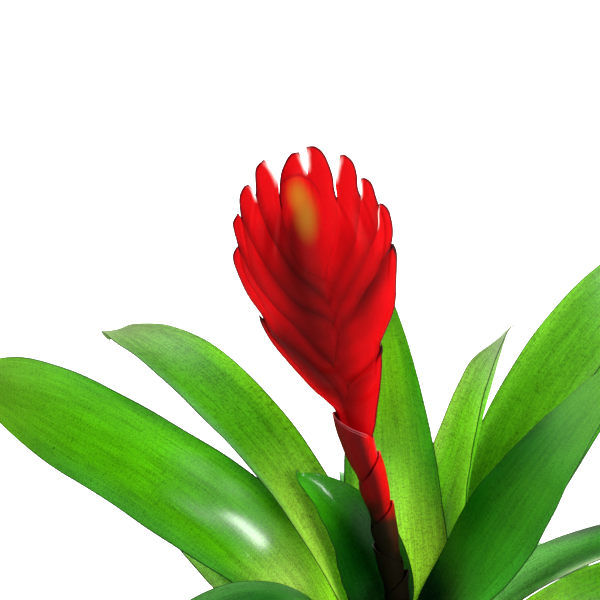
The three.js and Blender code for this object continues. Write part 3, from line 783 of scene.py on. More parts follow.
@dataclass(frozen=True)
class BractFinish:
    """Waxy red bract, painted bright where it is alone and darker where others lie behind it.

    The brightness is painted light and shade: the light that comes through overlapping bracts, with
    painted shade in the sword's core and beside margins. A reach or a width is in millimetres from
    the tip or the margin, and 0 leaves the thing out: the pale membrane, pale partly of its own and
    partly with painted light through it, the dry tip, the dark brown band along the margin. The
    hollow shade is painted shade on the sunk lower flank, and the fold shade tells how strongly the
    painted shade beside the borders of its neighbours shows. The fine pattern is laid out for one
    width and length, in millimetres.
    """

    bright: Colour = (0.55, 0.001, 0.003)
    line: Colour = (0.07, 0.001, 0.005)
    pale: Colour = (1.0, 0.84, 0.80)
    dry: Colour = (0.035, 0.006, 0.008)
    young: Colour = (0.42, 0.15, 0.008)
    shaded: Colour = (0.30, 0.125, 0.008)
    arc: Colour = (0.30, 0.001, 0.003)
    glow: Colour = (1.0, 0.008, 0.008)
    share: float = 0.3
    roughness: float = 0.46
    gloss: float = 0.04
    relief: float = 0.0001
    width: float = 40.0
    length: float = 70.0
    pale_width: float = 0.0
    pale_reach: float = 10.0
    dry_reach: float = 0.0
    brown_margin: float = 0.0
    hollow_shade: float = 0.0
    fold_shade: float = 1.0
    shows_bud: bool = False

    def wither(self, w: Wiring, red: Signal, tip: Signal, fibre: Signal) -> Signal:
        """Adds the pale membrane with its painted light, the dry tip and the dark brown margin
        band.

        Args:
            w: The material's wiring.
            red: The colour so far.
            tip: Distance from the tip in millimetres.
            fibre: The fibre pattern, which makes the borders ragged.

        Returns:
            The colour.
        """
        edge = w.painted("margin_mm")
        uneven = fibre - 0.5
        # The pale membrane near the tip: pale partly of its own and partly as painted light through
        # it.
        if self.pale_width:
            near = w.step(tip, self.pale_reach, self.pale_reach * 0.6) * w.step(tip, 0.0, 4.0)
            across = w.step(edge + uneven * self.pale_width, self.pale_width, 0.0)
            red = w.blend(near * (across * across), red, self.pale)
        ragged = uneven * 5.0
        # A dark brown band along the margin below the tip.
        if self.brown_margin:
            beside = w.step(edge + ragged, self.brown_margin, 0.0)
            red = w.blend(beside * w.step(tip, 60.0, 30.0) * 0.75, red, self.dry)
        if self.dry_reach:
            rim = w.step(w.math("MINIMUM", edge, w.painted("keel_mm")), 1.5, 0.6)
            worn = w.step(tip + ragged, self.dry_reach, self.dry_reach * 0.45) * rim
            red = w.blend(worn, red, self.dry)
        return red

    def material(self, name: str, seed: float) -> bpy.types.Material:
        """Builds the material.

        Args:
            name: Its name.
            seed: Sets this bract's own pattern.

        Returns:
            The material.
        """
        skin = Skin(name)
        w = skin.wiring
        tissue = Effects.use(
            w, "fibres", Place=w.place_on_sheet(), Width=self.width, Length=self.length, Seed=seed
        )
        fibre = tissue["Fibre"]
        margin, keel, tip = (w.painted(key) for key in ("margin_mm", "keel_mm", "tip_mm"))
        layers = Effects.use(
            w, "layers", Stack=w.painted("stack"), Core=w.painted("core_mm"),
            Shade=w.painted("shade_mm"), Margin=margin, Folds=self.fold_shade, Fibre=fibre,
        )
        # Painted light and shade: the red darkens where other bracts lie behind it, in the core and
        # beside margins.
        tone = layers["Tone"] * (1.04 - tissue["Stipple"] * 0.1)
        # Painted shade on the sunk lower flank.
        if self.hollow_shade:
            sunk = w.step(margin, 8.0, 1.0) * w.step(keel, 1.0, 5.0) * w.step(tip, 44.0, 22.0)
            tone = tone * (1.0 - sunk * self.hollow_shade)
        red = w.blend(1.0, self.bright, w.grey(tone), "MULTIPLY")
        # The young flowers' painted glow through the bract, and the painted shadow arc of a hidden
        # tip.
        if self.shows_bud:
            place = {"Across": w.painted("across_mm"), "Up": w.painted("up_mm")}
            bud = Effects.use(w, "bud_light", **place)
            red = w.blend(bud["Lower"], red, self.shaded)
            red = w.blend(bud["Upper"], red, self.young)
            red = w.blend(bud["Arc"] * 0.7, red, self.arc)
        red = w.blend(w.step(keel, 0.9, 0.25) * 0.88, red, self.line)
        red = self.wither(w, red, tip, fibre)
        skin.set(
            Base_Color=red,
            Roughness=fibre * 0.14 + (self.roughness - 0.07),
            Specular_IOR_Level=self.gloss,
        )
        skin.let_light_through(w.blend(0.3, red, self.glow, "MULTIPLY"), self.share)
        skin.bump(fibre, self.relief)
        return skin.material


@dataclass(frozen=True)
class StalkFinish:
    """Stalk and its sheaths: red near the sword, nearly black towards the rosette, with painted
    light and shade round it.
    """

    low: Colour = (0.006, 0.0036, 0.0016)
    low_flank: Colour = (0.045, 0.012, 0.004)
    middle: Colour = (0.07, 0.0008, 0.001)
    left: Colour = (0.125, 0.001, 0.0015)
    bright: Colour = (0.62, 0.002, 0.003)
    pale: Colour = (0.50, 0.09, 0.11)
    membrane: float = 0.0
    gloss: float = 0.05
    share: float = 0.15
    relief: float = 0.00012

    def rim(self, w: Wiring, strands: Signal, blotch: Signal) -> Signal:
        """Where the pale membrane round a sheath's margin shows.

        Args:
            w: The material's wiring.
            strands: The pattern of strands, which frays it.
            blotch: The pattern of blotches, which breaks it up.

        Returns:
            The strength of the membrane's colour.
        """
        edge = w.painted("margin_mm") + (strands - 0.5) * 0.9
        ridge = w.step(abs(edge - self.membrane * 0.75), 0.35, 0.05) * 0.5
        shown = w.math("MAXIMUM", ridge, w.step(edge, 0.9, 0.1) * 0.6)
        return shown * w.step(blotch, 0.3, 0.55)

    def material(self, name: str) -> bpy.types.Material:
        """Builds the material.

        Args:
            name: Its name.

        Returns:
            The material.
        """
        skin = Skin(name)
        w = skin.wiring
        where = w.place_in_plant()
        height = w.split(where)[2]
        strands, blotch = w.noise(where, STALK_STRANDS), w.noise(where, STALK_BLOTCHES)
        # Painted light and shade round the stalk: bright red on the right flank, deep red on the
        # left, darkest in the middle, and brown on the right flank lower down.
        flank = w.painted("flank")
        left = w.blend(w.step(flank, 0.25, -0.6), self.middle, self.left)
        red = w.blend(w.step(flank, 0.2, 0.9), left, self.bright)
        red = w.blend(w.step(strands, 0.45, 0.7) * 0.35, red, self.middle)
        rise = height + (blotch - 0.5) * 0.02 + flank * 0.004
        old = w.blend(w.step(flank, 0.0, 0.9) * w.step(rise, 0.085, 0.1), self.low, self.low_flank)
        red = w.blend(w.step(rise, 0.103, 0.118), old, red)
        if self.membrane:
            red = w.blend(self.rim(w, strands, blotch), red, self.pale)
        skin.set(Base_Color=red, Roughness=strands * 0.3 + 0.35, Specular_IOR_Level=self.gloss)
        skin.let_light_through(red, self.share)
        skin.bump(strands, self.relief)
        return skin.material


@dataclass(frozen=True)
class StockFinish:
    """Fibrous brown stock."""

    dark: Colour = (0.035, 0.018, 0.008)
    light: Colour = (0.21, 0.125, 0.06)
    roughness: float = 0.85
    relief: float = 0.0012

    def material(self, name: str) -> bpy.types.Material:
        """Builds the material.

        Args:
            name: Its name.

        Returns:
            The material.
        """
        skin = Skin(name)
        place = skin.wiring.place_in_plant()
        bark = Effects.use(skin.wiring, "bark", Place=place, Dark=self.dark, Light=self.light)
        skin.set(Base_Color=bark["Colour"], Roughness=self.roughness)
        skin.bump(bark["Height"], self.relief)
        return skin.material


# ---- The rosette ----

STOCK_TOP = 44.0
STOCK_TOP_RADIUS = 9.0
RING_DROP = 1.27
STOCK_SEED, STOCK_STEP, RIDGE_DEPTH = 11, 1.2, 0.16

# Where the leaf's forms lie, as shares of its length, and the close rows at its end.
NECK_END, FULL_WIDTH_AT, OPENS_AT, THINNED_AT = 0.35, 0.5, 0.16, 0.3
FLATTENS_FROM, HOOK_FROM, LAST_ROW = 0.7, 0.93, 0.9995
SPINE_STEPS, END = 96, 0.1

# The margin's small waves, long and short ones to the length, and their height; how thick the leaf
# is at its foot, what the blade loses of that, and the share that its margin and end lose.
LONG_WAVES, SHORT_WAVES, WAVE_HEIGHT = 21, 47, 0.28
LEAF_FOOT_THICKNESS, LEAF_THINNING, RIM_THINNING = 1.25, 0.35, 0.55


class Slot(Enum):
    """The record's material slots."""

    LEAF = "leaf"
    BRACT = "bract"
    SHEATH = "sheath"
    STALK = "stalk"
    STOCK = "stock"


def settle(piece: bpy.types.Object, node: str, material: bpy.types.Material) -> None:
    """Dresses a finished piece and puts it in the place of its solid.

    Args:
        piece: The piece.
        node: The solid that it stands for.
        material: Its finish.
    """
    piece.data.materials.clear()
    piece.data.materials.append(material)
    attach(piece, "root")
    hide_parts(node)
    LOG.info("%s: %d faces", piece.name, len(piece.data.polygons))


@dataclass
class Leaf:
    """One strap leaf: arched, channelled, twisted, and clasping the stock at its base."""

    name: str
    ring: float
    bearing: float
    base_pitch: float
    tip_pitch: float
    bend: float
    sweep: float
    twist: float
    twist_share: float
    length: float
    width: float
    channel: float
    sheath: float
    tip_from: float
    tip_power: float
    hook: float
    tip_root: float = 0.65
    finish: LeafFinish = field(default_factory=LeafFinish)
    rows: int = 120
    columns: int = 24

    def pitch(self, s: Points) -> Points:
        """The blade's slope at share s, in radians.

        Args:
            s: Shares of the length.

        Returns:
            One angle a share.
        """
        hooked = self.hook * np.clip((s - HOOK_FROM) / (1 - HOOK_FROM), 0.0, 1.0) ** 1.5
        bent = (self.tip_pitch - self.base_pitch) * s**self.bend
        return np.radians(self.base_pitch + bent - hooked)

    def heading(self, s: Points) -> Points:
        """The blade's bearing at share s, in radians."""
        return np.radians(self.bearing + self.sweep * s**1.3)

    def direction(self, s: Points) -> Points:
        """Unit direction of the blade's middle at share s.

        Args:
            s: Shares of the length.

        Returns:
            One direction a share.
        """
        pitch, heading = self.pitch(s), self.heading(s)
        level = np.cos(pitch)
        return np.stack([level * np.cos(heading), level * np.sin(heading), np.sin(pitch)], -1)

    def spine(self, s: Points) -> Points:
        """Points along the middle of the blade at shares s.

        Args:
            s: Shares of the length.

        Returns:
            One point a share.
        """
        bearing = math.radians(self.bearing)
        height = STOCK_TOP - (self.ring - STOCK_TOP_RADIUS) * RING_DROP
        start = [self.ring * math.cos(bearing), self.ring * math.sin(bearing), height]
        middles = (np.arange(SPINE_STEPS) + 0.5) / SPINE_STEPS
        steps = self.direction(middles) * (self.length / SPINE_STEPS)
        run = np.vstack([start, start + np.cumsum(steps, 0)])
        return at_share(run, s)

    def half_width(self, s: Points) -> Points:
        """Half width at shares s, kept to the room round the stock low down.

        Args:
            s: Shares of the length.

        Returns:
            One half width a share.
        """
        neck = 1 + (self.sheath - 1) * (1 - ease(s / NECK_END))
        body = 0.9 + 0.1 * ease(s / FULL_WIDTH_AT)
        t = np.clip((s - self.tip_from) / (1 - self.tip_from), 0.0, 1.0)
        tip = (1 - t**self.tip_power) ** self.tip_root
        wide = np.maximum(self.width / 2 * neck * body * tip, 0.15)
        room = 1.3 * (self.ring + 0.5 * s * self.length)
        return (wide**-4.0 + room**-4.0) ** -0.25

    def arc(self, s: Points) -> Points:
        """Half angle of the channel's arc at shares s.

        Args:
            s: Shares of the length.

        Returns:
            One angle a share.
        """
        base = self.half_width(np.zeros(1))[0] / self.ring
        blade = math.radians(self.channel)
        opened = blade + (base - blade) * np.exp(-((s / OPENS_AT) ** 1.5))
        return opened * (1 - 0.5 * np.clip((s - FLATTENS_FROM) / 0.3, 0.0, 1.0))

    def sheet(self, seed: int) -> Sheet:
        """The blade as a thickened grid.

        Args:
            seed: Sets the small waves of its margins.

        Returns:
            The sheet.
        """
        t = np.linspace(0.0, 1.0, self.rows + 1)
        closer = 1 - (1 - (t - (1 - END)) / END) ** 1.6
        s = np.where(t > 1 - END, (1 - END) + END * closer, t)
        s[-1] = LAST_ROW
        u = np.linspace(-1.0, 1.0, self.columns + 1)
        along, heading = self.direction(s), self.heading(s)
        side = np.stack([-np.sin(heading), np.cos(heading), 0 * heading], -1)
        upper = np.cross(along, side)
        turn = (math.radians(self.twist) * ease(s / self.twist_share))[:, None]
        cos, sin = np.cos(turn), np.sin(turn)
        side, upper = side * cos + upper * sin, upper * cos - side * sin
        angle = self.arc(s)
        radius = (self.half_width(s) / angle)[:, None, None]
        a = (angle[:, None] * u)[..., None]
        middle = self.spine(s)[:, None] + side[:, None] * radius * np.sin(a)
        middle = middle + upper[:, None] * radius * (1 - np.cos(a))
        normal = upper[:, None] * np.cos(a) - side[:, None] * np.sin(a)
        rng = np.random.default_rng(seed)
        phase = rng.uniform(0, 2 * math.pi, 4)
        row, margin = s[:, None], np.abs(u) ** 4
        wave = np.sin(row * LONG_WAVES + phase[0] + u * 0.6)
        wave = wave + 0.6 * np.sin(row * SHORT_WAVES + phase[1] - u)
        grown = ease((row - 0.18) / 0.25) * (1 - ease((row - 0.85) / 0.15))
        middle = middle + normal * (WAVE_HEIGHT * wave * margin * grown)[..., None]
        thick = LEAF_FOOT_THICKNESS - LEAF_THINNING * np.clip(row / THINNED_AT, 0.0, 1.0)
        thick = thick * (1 - RIM_THINNING * margin)
        thick = thick * (1 - RIM_THINNING * ease((row - (1 - END)) / END))
        place = (np.tile((u + 1) / 2, (len(s), 1)), np.tile(row, (1, len(u))))
        return Sheet(middle, normal, thick, {}, place)

    def add(self, seed: int) -> None:
        """Builds the leaf and dresses it.

        Args:
            seed: Sets its small waves and its pattern.
        """
        piece = self.sheet(seed).build(self.name + "_blade")
        green = self.finish.material(self.name + "_green", seed * 7.3, self.width, self.length)
        settle(piece, self.name, green)


# From the innermost leaf outwards: ring radius of the base, bearing, pitch at the base and the tip,
# bend, sweep, twist, share of the length that the twist takes, length, width, channel angle, width
# of the base as a share, where the tip begins, its power, the hook of its end, and its root.
LEAF_ROWS: list[tuple[float, ...]] = [
    (10, -94.9, 81.6, -49.5, 1.1, -6.1, 5.4, 0.78, 100, 35.2, 7.7, 1.1, 0.53, 2.13, 29.2),
    (11.6, 138.1, 82.6, 31, 1.19, 41.9, -23.6, 0.36, 87.4, 42.3, 35, 1.2, 0.16, 2.4, -60, 0.94),
    (13.2, -5.8, 64.9, 59.5, 1.1, -20, 42.5, 0.46, 173.6, 52, 6, 1.19, 0.25, 1.2, 8.7),
    (16.2, 96.8, 78, 29.4, 1.1, -3.7, 13.3, 0.69, 176, 52.8, 25, 1.3, 0.25, 1.2, 5.5),
    (18.6, 158, 75.6, -26, 1.26, -41.1, 0.1, 0.8, 234.3, 41.5, 30.2, 1.13, 0.62, 1.65, 47.7),
    (20.7, 56.8, 65.2, 72.5, 0.09, -48.5, -14.8, 0.87, 158.7, 38.1, 46.3, 1.08, 0.77, 2.17, 77.3,
     2.7),
    (21.6, -138.3, 70, -95.9, 1.24, 7.1, -10.4, 0.8, 215.4, 41.3, 25, 1.07, 0.55, 2.2, 30),
    (22.4, 32, 73.3, 12.7, 1.64, -1.2, 2.7, 0.8, 248.8, 44.4, 13.9, 1.07, 0.59, 2.21, 30),
    (24.4, -6.5, 68.9, -72.6, 1.1, 21.1, -24.8, 0.71, 248.7, 48, 18.3, 1.2, 0.55, 2.2, 30),
    (26.4, 175.7, 66.4, -12.1, 1.1, -40, -71.6, 0.6, 243.9, 51, 40, 1.3, 0.68, 1.51, 0.2),
    (27.7, 37.1, 68.3, 17.3, 1.1, 10.5, 26.7, 0.47, 252.1, 44.9, 12.6, 1.1, 0.55, 2.2, 30),
    (30.4, -12, 63.8, -42.2, 1.1, -5.7, -1.9, 0.8, 240.5, 39.2, 6, 0.99, 0.54, 2.19, 30),
    (31.8, -76.7, 67.2, -85, 1.1, 0.4, 0.1, 0.8, 230.4, 43.4, 18.7, 1.08, 0.55, 2.2, 25.6),
    (33.3, 116.4, 64.4, -82.6, 1.1, -0.2, 8, 0.79, 180, 41.5, 18.6, 1.1, 0.55, 2.19, 30.2),
    (34.8, 50, 63.2, -82.3, 1.1, -8, -7.5, 0.8, 138.4, 41.9, 19.4, 1.1, 0.54, 2.18, 32.5),
    (36.3, -42, 62.1, -77.6, 1.14, 0, 0, 0.8, 225.3, 44, 20, 1.1, 0.55, 2.2, 29.8),
    (37.8, 160, 59.3, 22.1, 1.53, -11.1, -17.4, 0.61, 143.5, 45.6, 7.7, 1.1, 0.55, 2.12, 46.6),
    (39.3, 92.1, 59.7, -74.3, 1.17, -0.1, 0.8, 0.8, 176.5, 42, 19.2, 1.1, 0.55, 2.2, 30),
]

# Each leaf's own tones. Pale feet are painted light coming through the leaf, and the dark blades
# and margins are partly painted shade.
LEAF_FINISHES: dict[int, LeafFinish] = {
    2: LeafFinish(
        foot=screen(30, 77, 30), blade=screen(3, 57, 4), tip=screen(46, 137, 3),
        first=screen(30, 80, 10), last=screen(11, 64, 7), first_reach=0.12, last_reach=0.35,
        tip_from=0.5, share=0.15, roughness=0.3, gloss=0.04, wax=0.3, wax_roughness=0.16,
        wax_from=0.78, wax_to=1.1,
    ),
    3: LeafFinish(
        foot=screen(3, 30, 13), blade=screen(42, 121, 17), tip=screen(77, 145, 32),
        first=screen(42, 121, 25), last=screen(3, 85, 3), last_reach=0.62, tip_from=0.6,
        share=0.2, gloss=0.2, roughness=0.22,
    ),
    4: LeafFinish(
        foot=screen(205, 249, 67), blade=screen(98, 153, 3), tip=screen(43, 94, 13),
        first=screen(45, 139, 8), last=screen(8, 104, 12), first_reach=0.35, last_reach=0.3,
        foot_end=0.5, share=0.5, gloss=0.15,
    ),
    5: LeafFinish(
        foot=screen(202, 249, 83), blade=screen(53, 119, 4), tip=screen(92, 104, 70),
        first=screen(93, 160, 13), last=screen(68, 116, 61), foot_end=0.5, tip_from=0.62,
        share=0.45, roughness=0.5, gloss=0.05,
    ),
    6: LeafFinish(
        foot=screen(106, 186, 24), blade=screen(132, 206, 41), tip=screen(132, 141, 115),
        first=screen(99, 179, 34), last=screen(174, 209, 96), share=0.5, gloss=0.15,
    ),
    7: LeafFinish(
        foot=screen(26, 108, 14), blade=screen(4, 67, 3), tip=screen(70, 140, 40),
        first=screen(47, 97, 38), share=0.2, gloss=0.2,
    ),
    8: LeafFinish(
        foot=screen(86, 168, 27), blade=screen(72, 137, 14), tip=screen(76, 154, 26),
        first=screen(80, 132, 40), last=screen(103, 166, 38), share=0.5, gloss=0.22,
        roughness=0.24,
    ),
    9: LeafFinish(
        foot=screen(151, 229, 125), blade=screen(39, 129, 3), tip=screen(70, 140, 40),
        first=screen(160, 172, 136), last=screen(3, 35, 3), first_reach=0.4, share=0.3,
        gloss=0.05,
    ),
    10: LeafFinish(
        foot=screen(229, 249, 124), blade=screen(71, 153, 6), tip=screen(92, 143, 30),
        first=screen(30, 114, 4), last=screen(59, 136, 42), first_reach=0.2, last_reach=0.25,
        foot_end=0.35, share=0.4, roughness=0.2, gloss=0.05, relief=4e-05, wax=1,
        wax_roughness=0.26, wax_from=0.18, wax_to=0.48, wax_middle=0.42, wax_reach=0.3,
    ),
    12: LeafFinish(
        foot=screen(249, 249, 16), blade=screen(126, 206, 22), tip=screen(90, 165, 34),
        first=screen(130, 176, 100), share=0.4, gloss=0.15, last=screen(176, 220, 76),
    ),
    17: LeafFinish(
        foot=screen(80, 150, 30), blade=screen(65, 133, 27), tip=screen(110, 168, 60), share=0.4,
        gloss=0.15, last=screen(183, 219, 139),
    ),
}


@dataclass
class Rosette:
    """All the leaves, and the stock that they stand round."""

    rows: list[tuple[float, ...]] = field(default_factory=lambda: LEAF_ROWS)
    bark: StockFinish = StockFinish()
    stock_sides: int = 128
    stock_ridges: int = 14

    def add(self) -> None:
        """Builds the stock and every leaf."""
        self.add_stock()
        for number, row in enumerate(self.rows, start=1):
            leaf = Leaf(f"leaf_{number:02d}", *row)
            leaf.finish = LEAF_FINISHES.get(number, LeafFinish())
            leaf.add(number)

    def add_stock(self) -> None:
        """The stock: a ridged cone with a flat foot."""
        clear = 0.3 + LEAF_FOOT_THICKNESS / 2 + 0.15
        bases = (39.3, 33.6, 28.0, 22.0, 16.0, 12.0, 9.0)
        outline = [(0.02, 0.0), (20.0, 0.0), (36.2, 0.0), (37.4, 0.5), (bases[0] - clear, 1.8)]
        for radius in bases:
            outline.append((radius - clear, STOCK_TOP - (radius - STOCK_TOP_RADIUS) * RING_DROP))
        outline.append((0.02, STOCK_TOP))
        line = []
        for (r0, z0), (r1, z1) in zip(outline[:-1], outline[1:]):
            pieces = max(1, int(math.hypot(r1 - r0, z1 - z0) / STOCK_STEP))
            shares = [k / pieces for k in range(pieces)]
            line += [(r0 + (r1 - r0) * k, z0 + (z1 - z0) * k) for k in shares]
        line.append(outline[-1])
        rings = np.array(line)
        angle = np.linspace(0.0, 2 * math.pi, self.stock_sides, endpoint=False)
        rng = np.random.default_rng(STOCK_SEED)
        rough = np.zeros((len(rings), self.stock_sides))
        for _ in range(self.stock_ridges):
            waves, drift, phase = rng.integers(5, 46), rng.uniform(-0.25, 0.25), rng.uniform(0, 6.3)
            rough += np.sin(waves * angle[None] + phase + drift * rings[:, 1:2])
        inward = -np.abs(rough) * RIDGE_DEPTH * ease(rings[:, :1] / 12.0)
        radii = np.maximum(rings[:, :1] + inward, 0.02)
        middles = np.stack([0 * rings[:, 0], 0 * rings[:, 0], rings[:, 1]], -1)
        frames = np.tile(np.eye(3)[None, :2], (len(rings), 1, 1))
        piece = tube("stock_foot", middles, frames, radii, self.stock_sides)
        settle(piece, "root_stock", self.bark.material("stock_bark"))


# ---- The sword ----

SWORD_FOOT = np.array([-22.91, 149.29])
LEAN_X, LEAN_Z = -0.14865, 0.98889

# How the bracts lie: the feet of keel and margin beside the node, how much a layer moves out for
# each millimetre up, the softness of a fold, and the gap under a margin that lies on the next one.
LINE_STEPS = 60
KEEL_FOOT, MARGIN_FOOT = 1.5, 2.4
LAYER_SLOPE, FOLD_SOFTNESS, MARGIN_GAP = 0.1707, 0.5, 0.34
FLATTENED, FLATTENS_OVER = 0.7, 6.0
BRACT_THICKNESS, BRACT_RIM_THINNING, BRACT_RIM = 0.6, 0.46, 3.5


class Side(Enum):
    """The rank that a bract stands in."""

    LEFT = -1
    RIGHT = 1


LEFT, RIGHT = Side.LEFT, Side.RIGHT


def rachis_radius(up: Points | float) -> Points:
    """Radius of the rachis at a height up the sword."""
    return 1.5 + 1.6 * np.exp(-np.maximum(np.asarray(up) + 3.1, 0.0) / 9.0)


def sword_points(place: Points, depth: Points) -> Points:
    """Places in the sword's plane, moved out of it by depth, as points of the plant.

    Args:
        place: Rows of across and up.
        depth: Distance to the back, one a row.

    Returns:
        Points, one row each.
    """
    across, up = place[..., 0], place[..., 1]
    x = SWORD_FOOT[0] + across * LEAN_Z + up * LEAN_X
    z = SWORD_FOOT[1] - across * LEAN_X + up * LEAN_Z
    return np.stack([x, depth, z], -1)


# The two lines in the sword's plane along which its painted shade is darkest.
CORE = np.array([
    [-13.0, 93.0], [-12.6, 86.5], [-12.2, 78.8], [-10.9, 70.3], [-10.4, 61.0], [-9.6, 50.5],
    [-7.4, 39.3], [-6.0, 31.0], [-4.4, 21.2], [-2.4, 11.1], [-3.8, 4.0],
])
LOW_CORE = np.array([[-22.8, 45.0], [-18.6, 39.1], [-14.4, 32.8], [-9.4, 25.8], [-5.5, 16.5]])


@dataclass
class Bract:
    """One boat-shaped bract: its keel outwards, both its margins inwards."""

    name: str
    side: Side
    node: tuple[float, float]
    belly: float
    keel: list[list[float]]
    margin: list[list[float]]
    layer_from: float | None = None
    lift: float = 0.0
    lying: float = 11.0
    rows: int = 110
    half_columns: int = 26

    def keel_line(self) -> Points:
        """The keel from the tip down to the node."""
        foot = self.side.value * (float(rachis_radius(self.node[1])) + KEEL_FOOT)
        return smooth_curve([*self.keel, [self.node[0] + foot, self.node[1]]], LINE_STEPS)

    def margin_line(self) -> Points:
        """The free margin from the tip down to the node."""
        end = [self.node[0] - self.side.value * MARGIN_FOOT, self.node[1]]
        return smooth_curve([self.keel[0], *self.margin, end], LINE_STEPS)

    def depth_inside(self, place: Points) -> Points:
        """Distance from the bract's outline, below 0 outside it.

        Args:
            place: Rows of across and up.

        Returns:
            One distance a row.
        """
        outline = np.vstack([self.keel_line(), self.margin_line()[::-1]])
        distance = distance_to(place, np.vstack([outline, outline[:1]]))
        return np.where(inside(place, outline), distance, -distance)

    def half_thickness(self, place: Points, from_keel: Points) -> Points:
        """How far the bract stands out of the sword's plane, at each place.

        Args:
            place: Rows of across and up.
            from_keel: Distance from the keel, one a row.

        Returns:
            One depth a row.
        """
        start, up = self.node[1] if self.layer_from is None else self.layer_from, place[:, 1]
        layer = rachis_radius(up) + 0.6 + np.maximum(LAYER_SLOPE * (up - start), self.lift)
        swell = 2.0 * (1 - np.exp(-from_keel / 1.2)) + 0.3 * from_keel
        total = np.exp(-layer / FOLD_SOFTNESS) + np.exp(-self.belly * swell / FOLD_SOFTNESS)
        return np.maximum(-FOLD_SOFTNESS * np.log(total), 0.0)

    def sheet(self, rank: "Rank") -> Sheet:
        """The bract as a thickened grid, with the values that its colours follow.

        Args:
            rank: The bracts round it.

        Returns:
            The sheet.
        """
        keel, margin = self.keel_line(), self.margin_line()
        t = np.linspace(0.0, 1.0, self.rows + 1)
        share = 0.997 * (0.5 * t + 0.5 * (1 - (1 - t) ** 1.5))
        at_keel, at_margin = at_share(keel, 1 - share), at_share(margin, 1 - share)
        q = (np.arange(self.half_columns + 1) / self.half_columns) ** 1.5
        place = at_keel[:, None] + (at_margin - at_keel)[:, None] * q[None, :, None]
        flat = place.reshape(-1, 2)
        from_keel = distance_to(flat, keel)
        to_margin = distance_to(flat, margin)
        depth = rank.depths(flat)[self.name].reshape(place.shape[:2])
        depth[:, 0] = 0.0

        def both(values: Points) -> Points:
            """Mirrors the half row behind the keel, in the order that faces outwards."""
            half = values.reshape(place.shape[:2])
            return np.hstack([half[:, :0:-1], half])

        front = np.hstack([-depth[:, :0:-1], depth]) * self.side.value
        middle = sword_points(np.stack([both(flat[:, 0]), both(flat[:, 1])], -1), front)
        along = np.tile(share[:, None], (1, 2 * self.half_columns + 1))
        # stack, core_mm, shade_mm and margin_mm steer the painted light and shade, across_mm and
        # up_mm the bud's painted glow.
        paint = {
            "stack": both(rank.stack(flat)),
            "core_mm": both(rank.from_core(flat) + 8.0 * (1 - ease(from_keel / 6.0))),
            "shade_mm": both(rank.beside_margin(flat)),
            "margin_mm": both(to_margin),
            "keel_mm": both(from_keel),
            "tip_mm": both(np.hypot(*(flat - keel[0]).T)),
            "across_mm": both(flat[:, 0]),
            "up_mm": both(flat[:, 1]),
        }
        across = np.tile(np.linspace(0.0, 1.0, 2 * self.half_columns + 1), (self.rows + 1, 1))
        thin = BRACT_THICKNESS - BRACT_RIM_THINNING * (1 - ease(both(to_margin) / BRACT_RIM))
        return Sheet(middle, grid_normals(middle), thin, paint, (across, along))

    def add(self, seed: int, rank: "Rank", finish: BractFinish) -> None:
        """Builds the bract and dresses it."""
        piece = self.sheet(rank).build(self.name + "_shell")
        settle(piece, self.name, finish.material(self.name + "_red", seed * 3.1))


@dataclass
class Rank:
    """What lies round one bract: its neighbours of the same rank, and all of the sword."""

    outer: Bract | None
    stacked: list[tuple[Bract, Bract | None]]
    everyone: list[Bract]

    def stack(self, place: Points) -> Points:
        """How many bracts lie on top of each other at each place, with soft borders."""
        return sum(ease((bract.depth_inside(place) + 0.6) / 5.5) for bract in self.everyone)

    def from_core(self, place: Points) -> Points:
        """Distance to the lines of the sword's darkest painted shade."""
        return np.minimum(distance_to(place, CORE), distance_to(place, LOW_CORE))

    def depths(self, place: Points) -> dict[str, Points]:
        """How far each bract from the innermost to this one stands out of the sword's plane.

        A bract lies down on what is inside it towards its margin, and flattens beyond the next one.

        Args:
            place: Rows of across and up.

        Returns:
            One depth a row, by the bract's name.
        """
        floor = np.zeros(len(place))
        found = {}
        for bract, inner in self.stacked:
            reach = 0.0 if inner is None else np.maximum(-inner.depth_inside(place), 0.0)
            depth = bract.half_thickness(place, distance_to(place, bract.keel_line()))
            depth = depth * (1 - FLATTENED * ease(reach / FLATTENS_OVER))
            lying = 1 - ease(distance_to(place, bract.margin_line()) / bract.lying)
            depth = depth + (np.minimum(floor + MARGIN_GAP, depth) - depth) * lying
            found[bract.name] = depth
            floor = np.maximum(floor, depth * ease((bract.depth_inside(place) + 2.5) / 2.5))
        return found

    def beside_margin(self, place: Points) -> Points:
        """Distance to the margin of the next bract outside.

        Args:
            place: Rows of across and up.

        Returns:
            One distance a row.
        """
        if self.outer is None:
            return np.full(len(place), 99.0)
        return distance_to(place, self.outer.margin_line())


# Each bract's finish, with the strength of its painted shade on the sunk flank and beside its
# neighbours' borders.
BRACT_FINISHES: dict[str, BractFinish] = {
    "bract_left_1": BractFinish(dry_reach=5.0, brown_margin=4.6, dry=(0.05, 0.004, 0.004)),
    "bract_right_1": BractFinish(dry_reach=7.5, hollow_shade=0.3, fold_shade=0.9),
    "bract_right_2": BractFinish(dry_reach=7.0, hollow_shade=0.64, fold_shade=1.0),
    "bract_left_4": BractFinish(pale_width=1.8, pale_reach=9.0),
    "bract_left_5": BractFinish(pale_width=2.4, pale_reach=14.0),
    "bract_left_6": BractFinish(pale_width=2.2, pale_reach=11.0, fold_shade=0.2, shows_bud=True),
    "bract_right_6": BractFinish(pale_width=2.5, pale_reach=12.0, fold_shade=0.2, shows_bud=True),
    "bract_right_5": BractFinish(pale_width=2.4, pale_reach=13.0, fold_shade=0.65),
    "bract_right_4": BractFinish(pale_width=1.3, pale_reach=10.0, fold_shade=0.75),
    "bract_right_3": BractFinish(pale_width=0.8, pale_reach=12.0, fold_shade=0.8),
    "inner_bud": BractFinish(fold_shade=0.1, shows_bud=True),
}


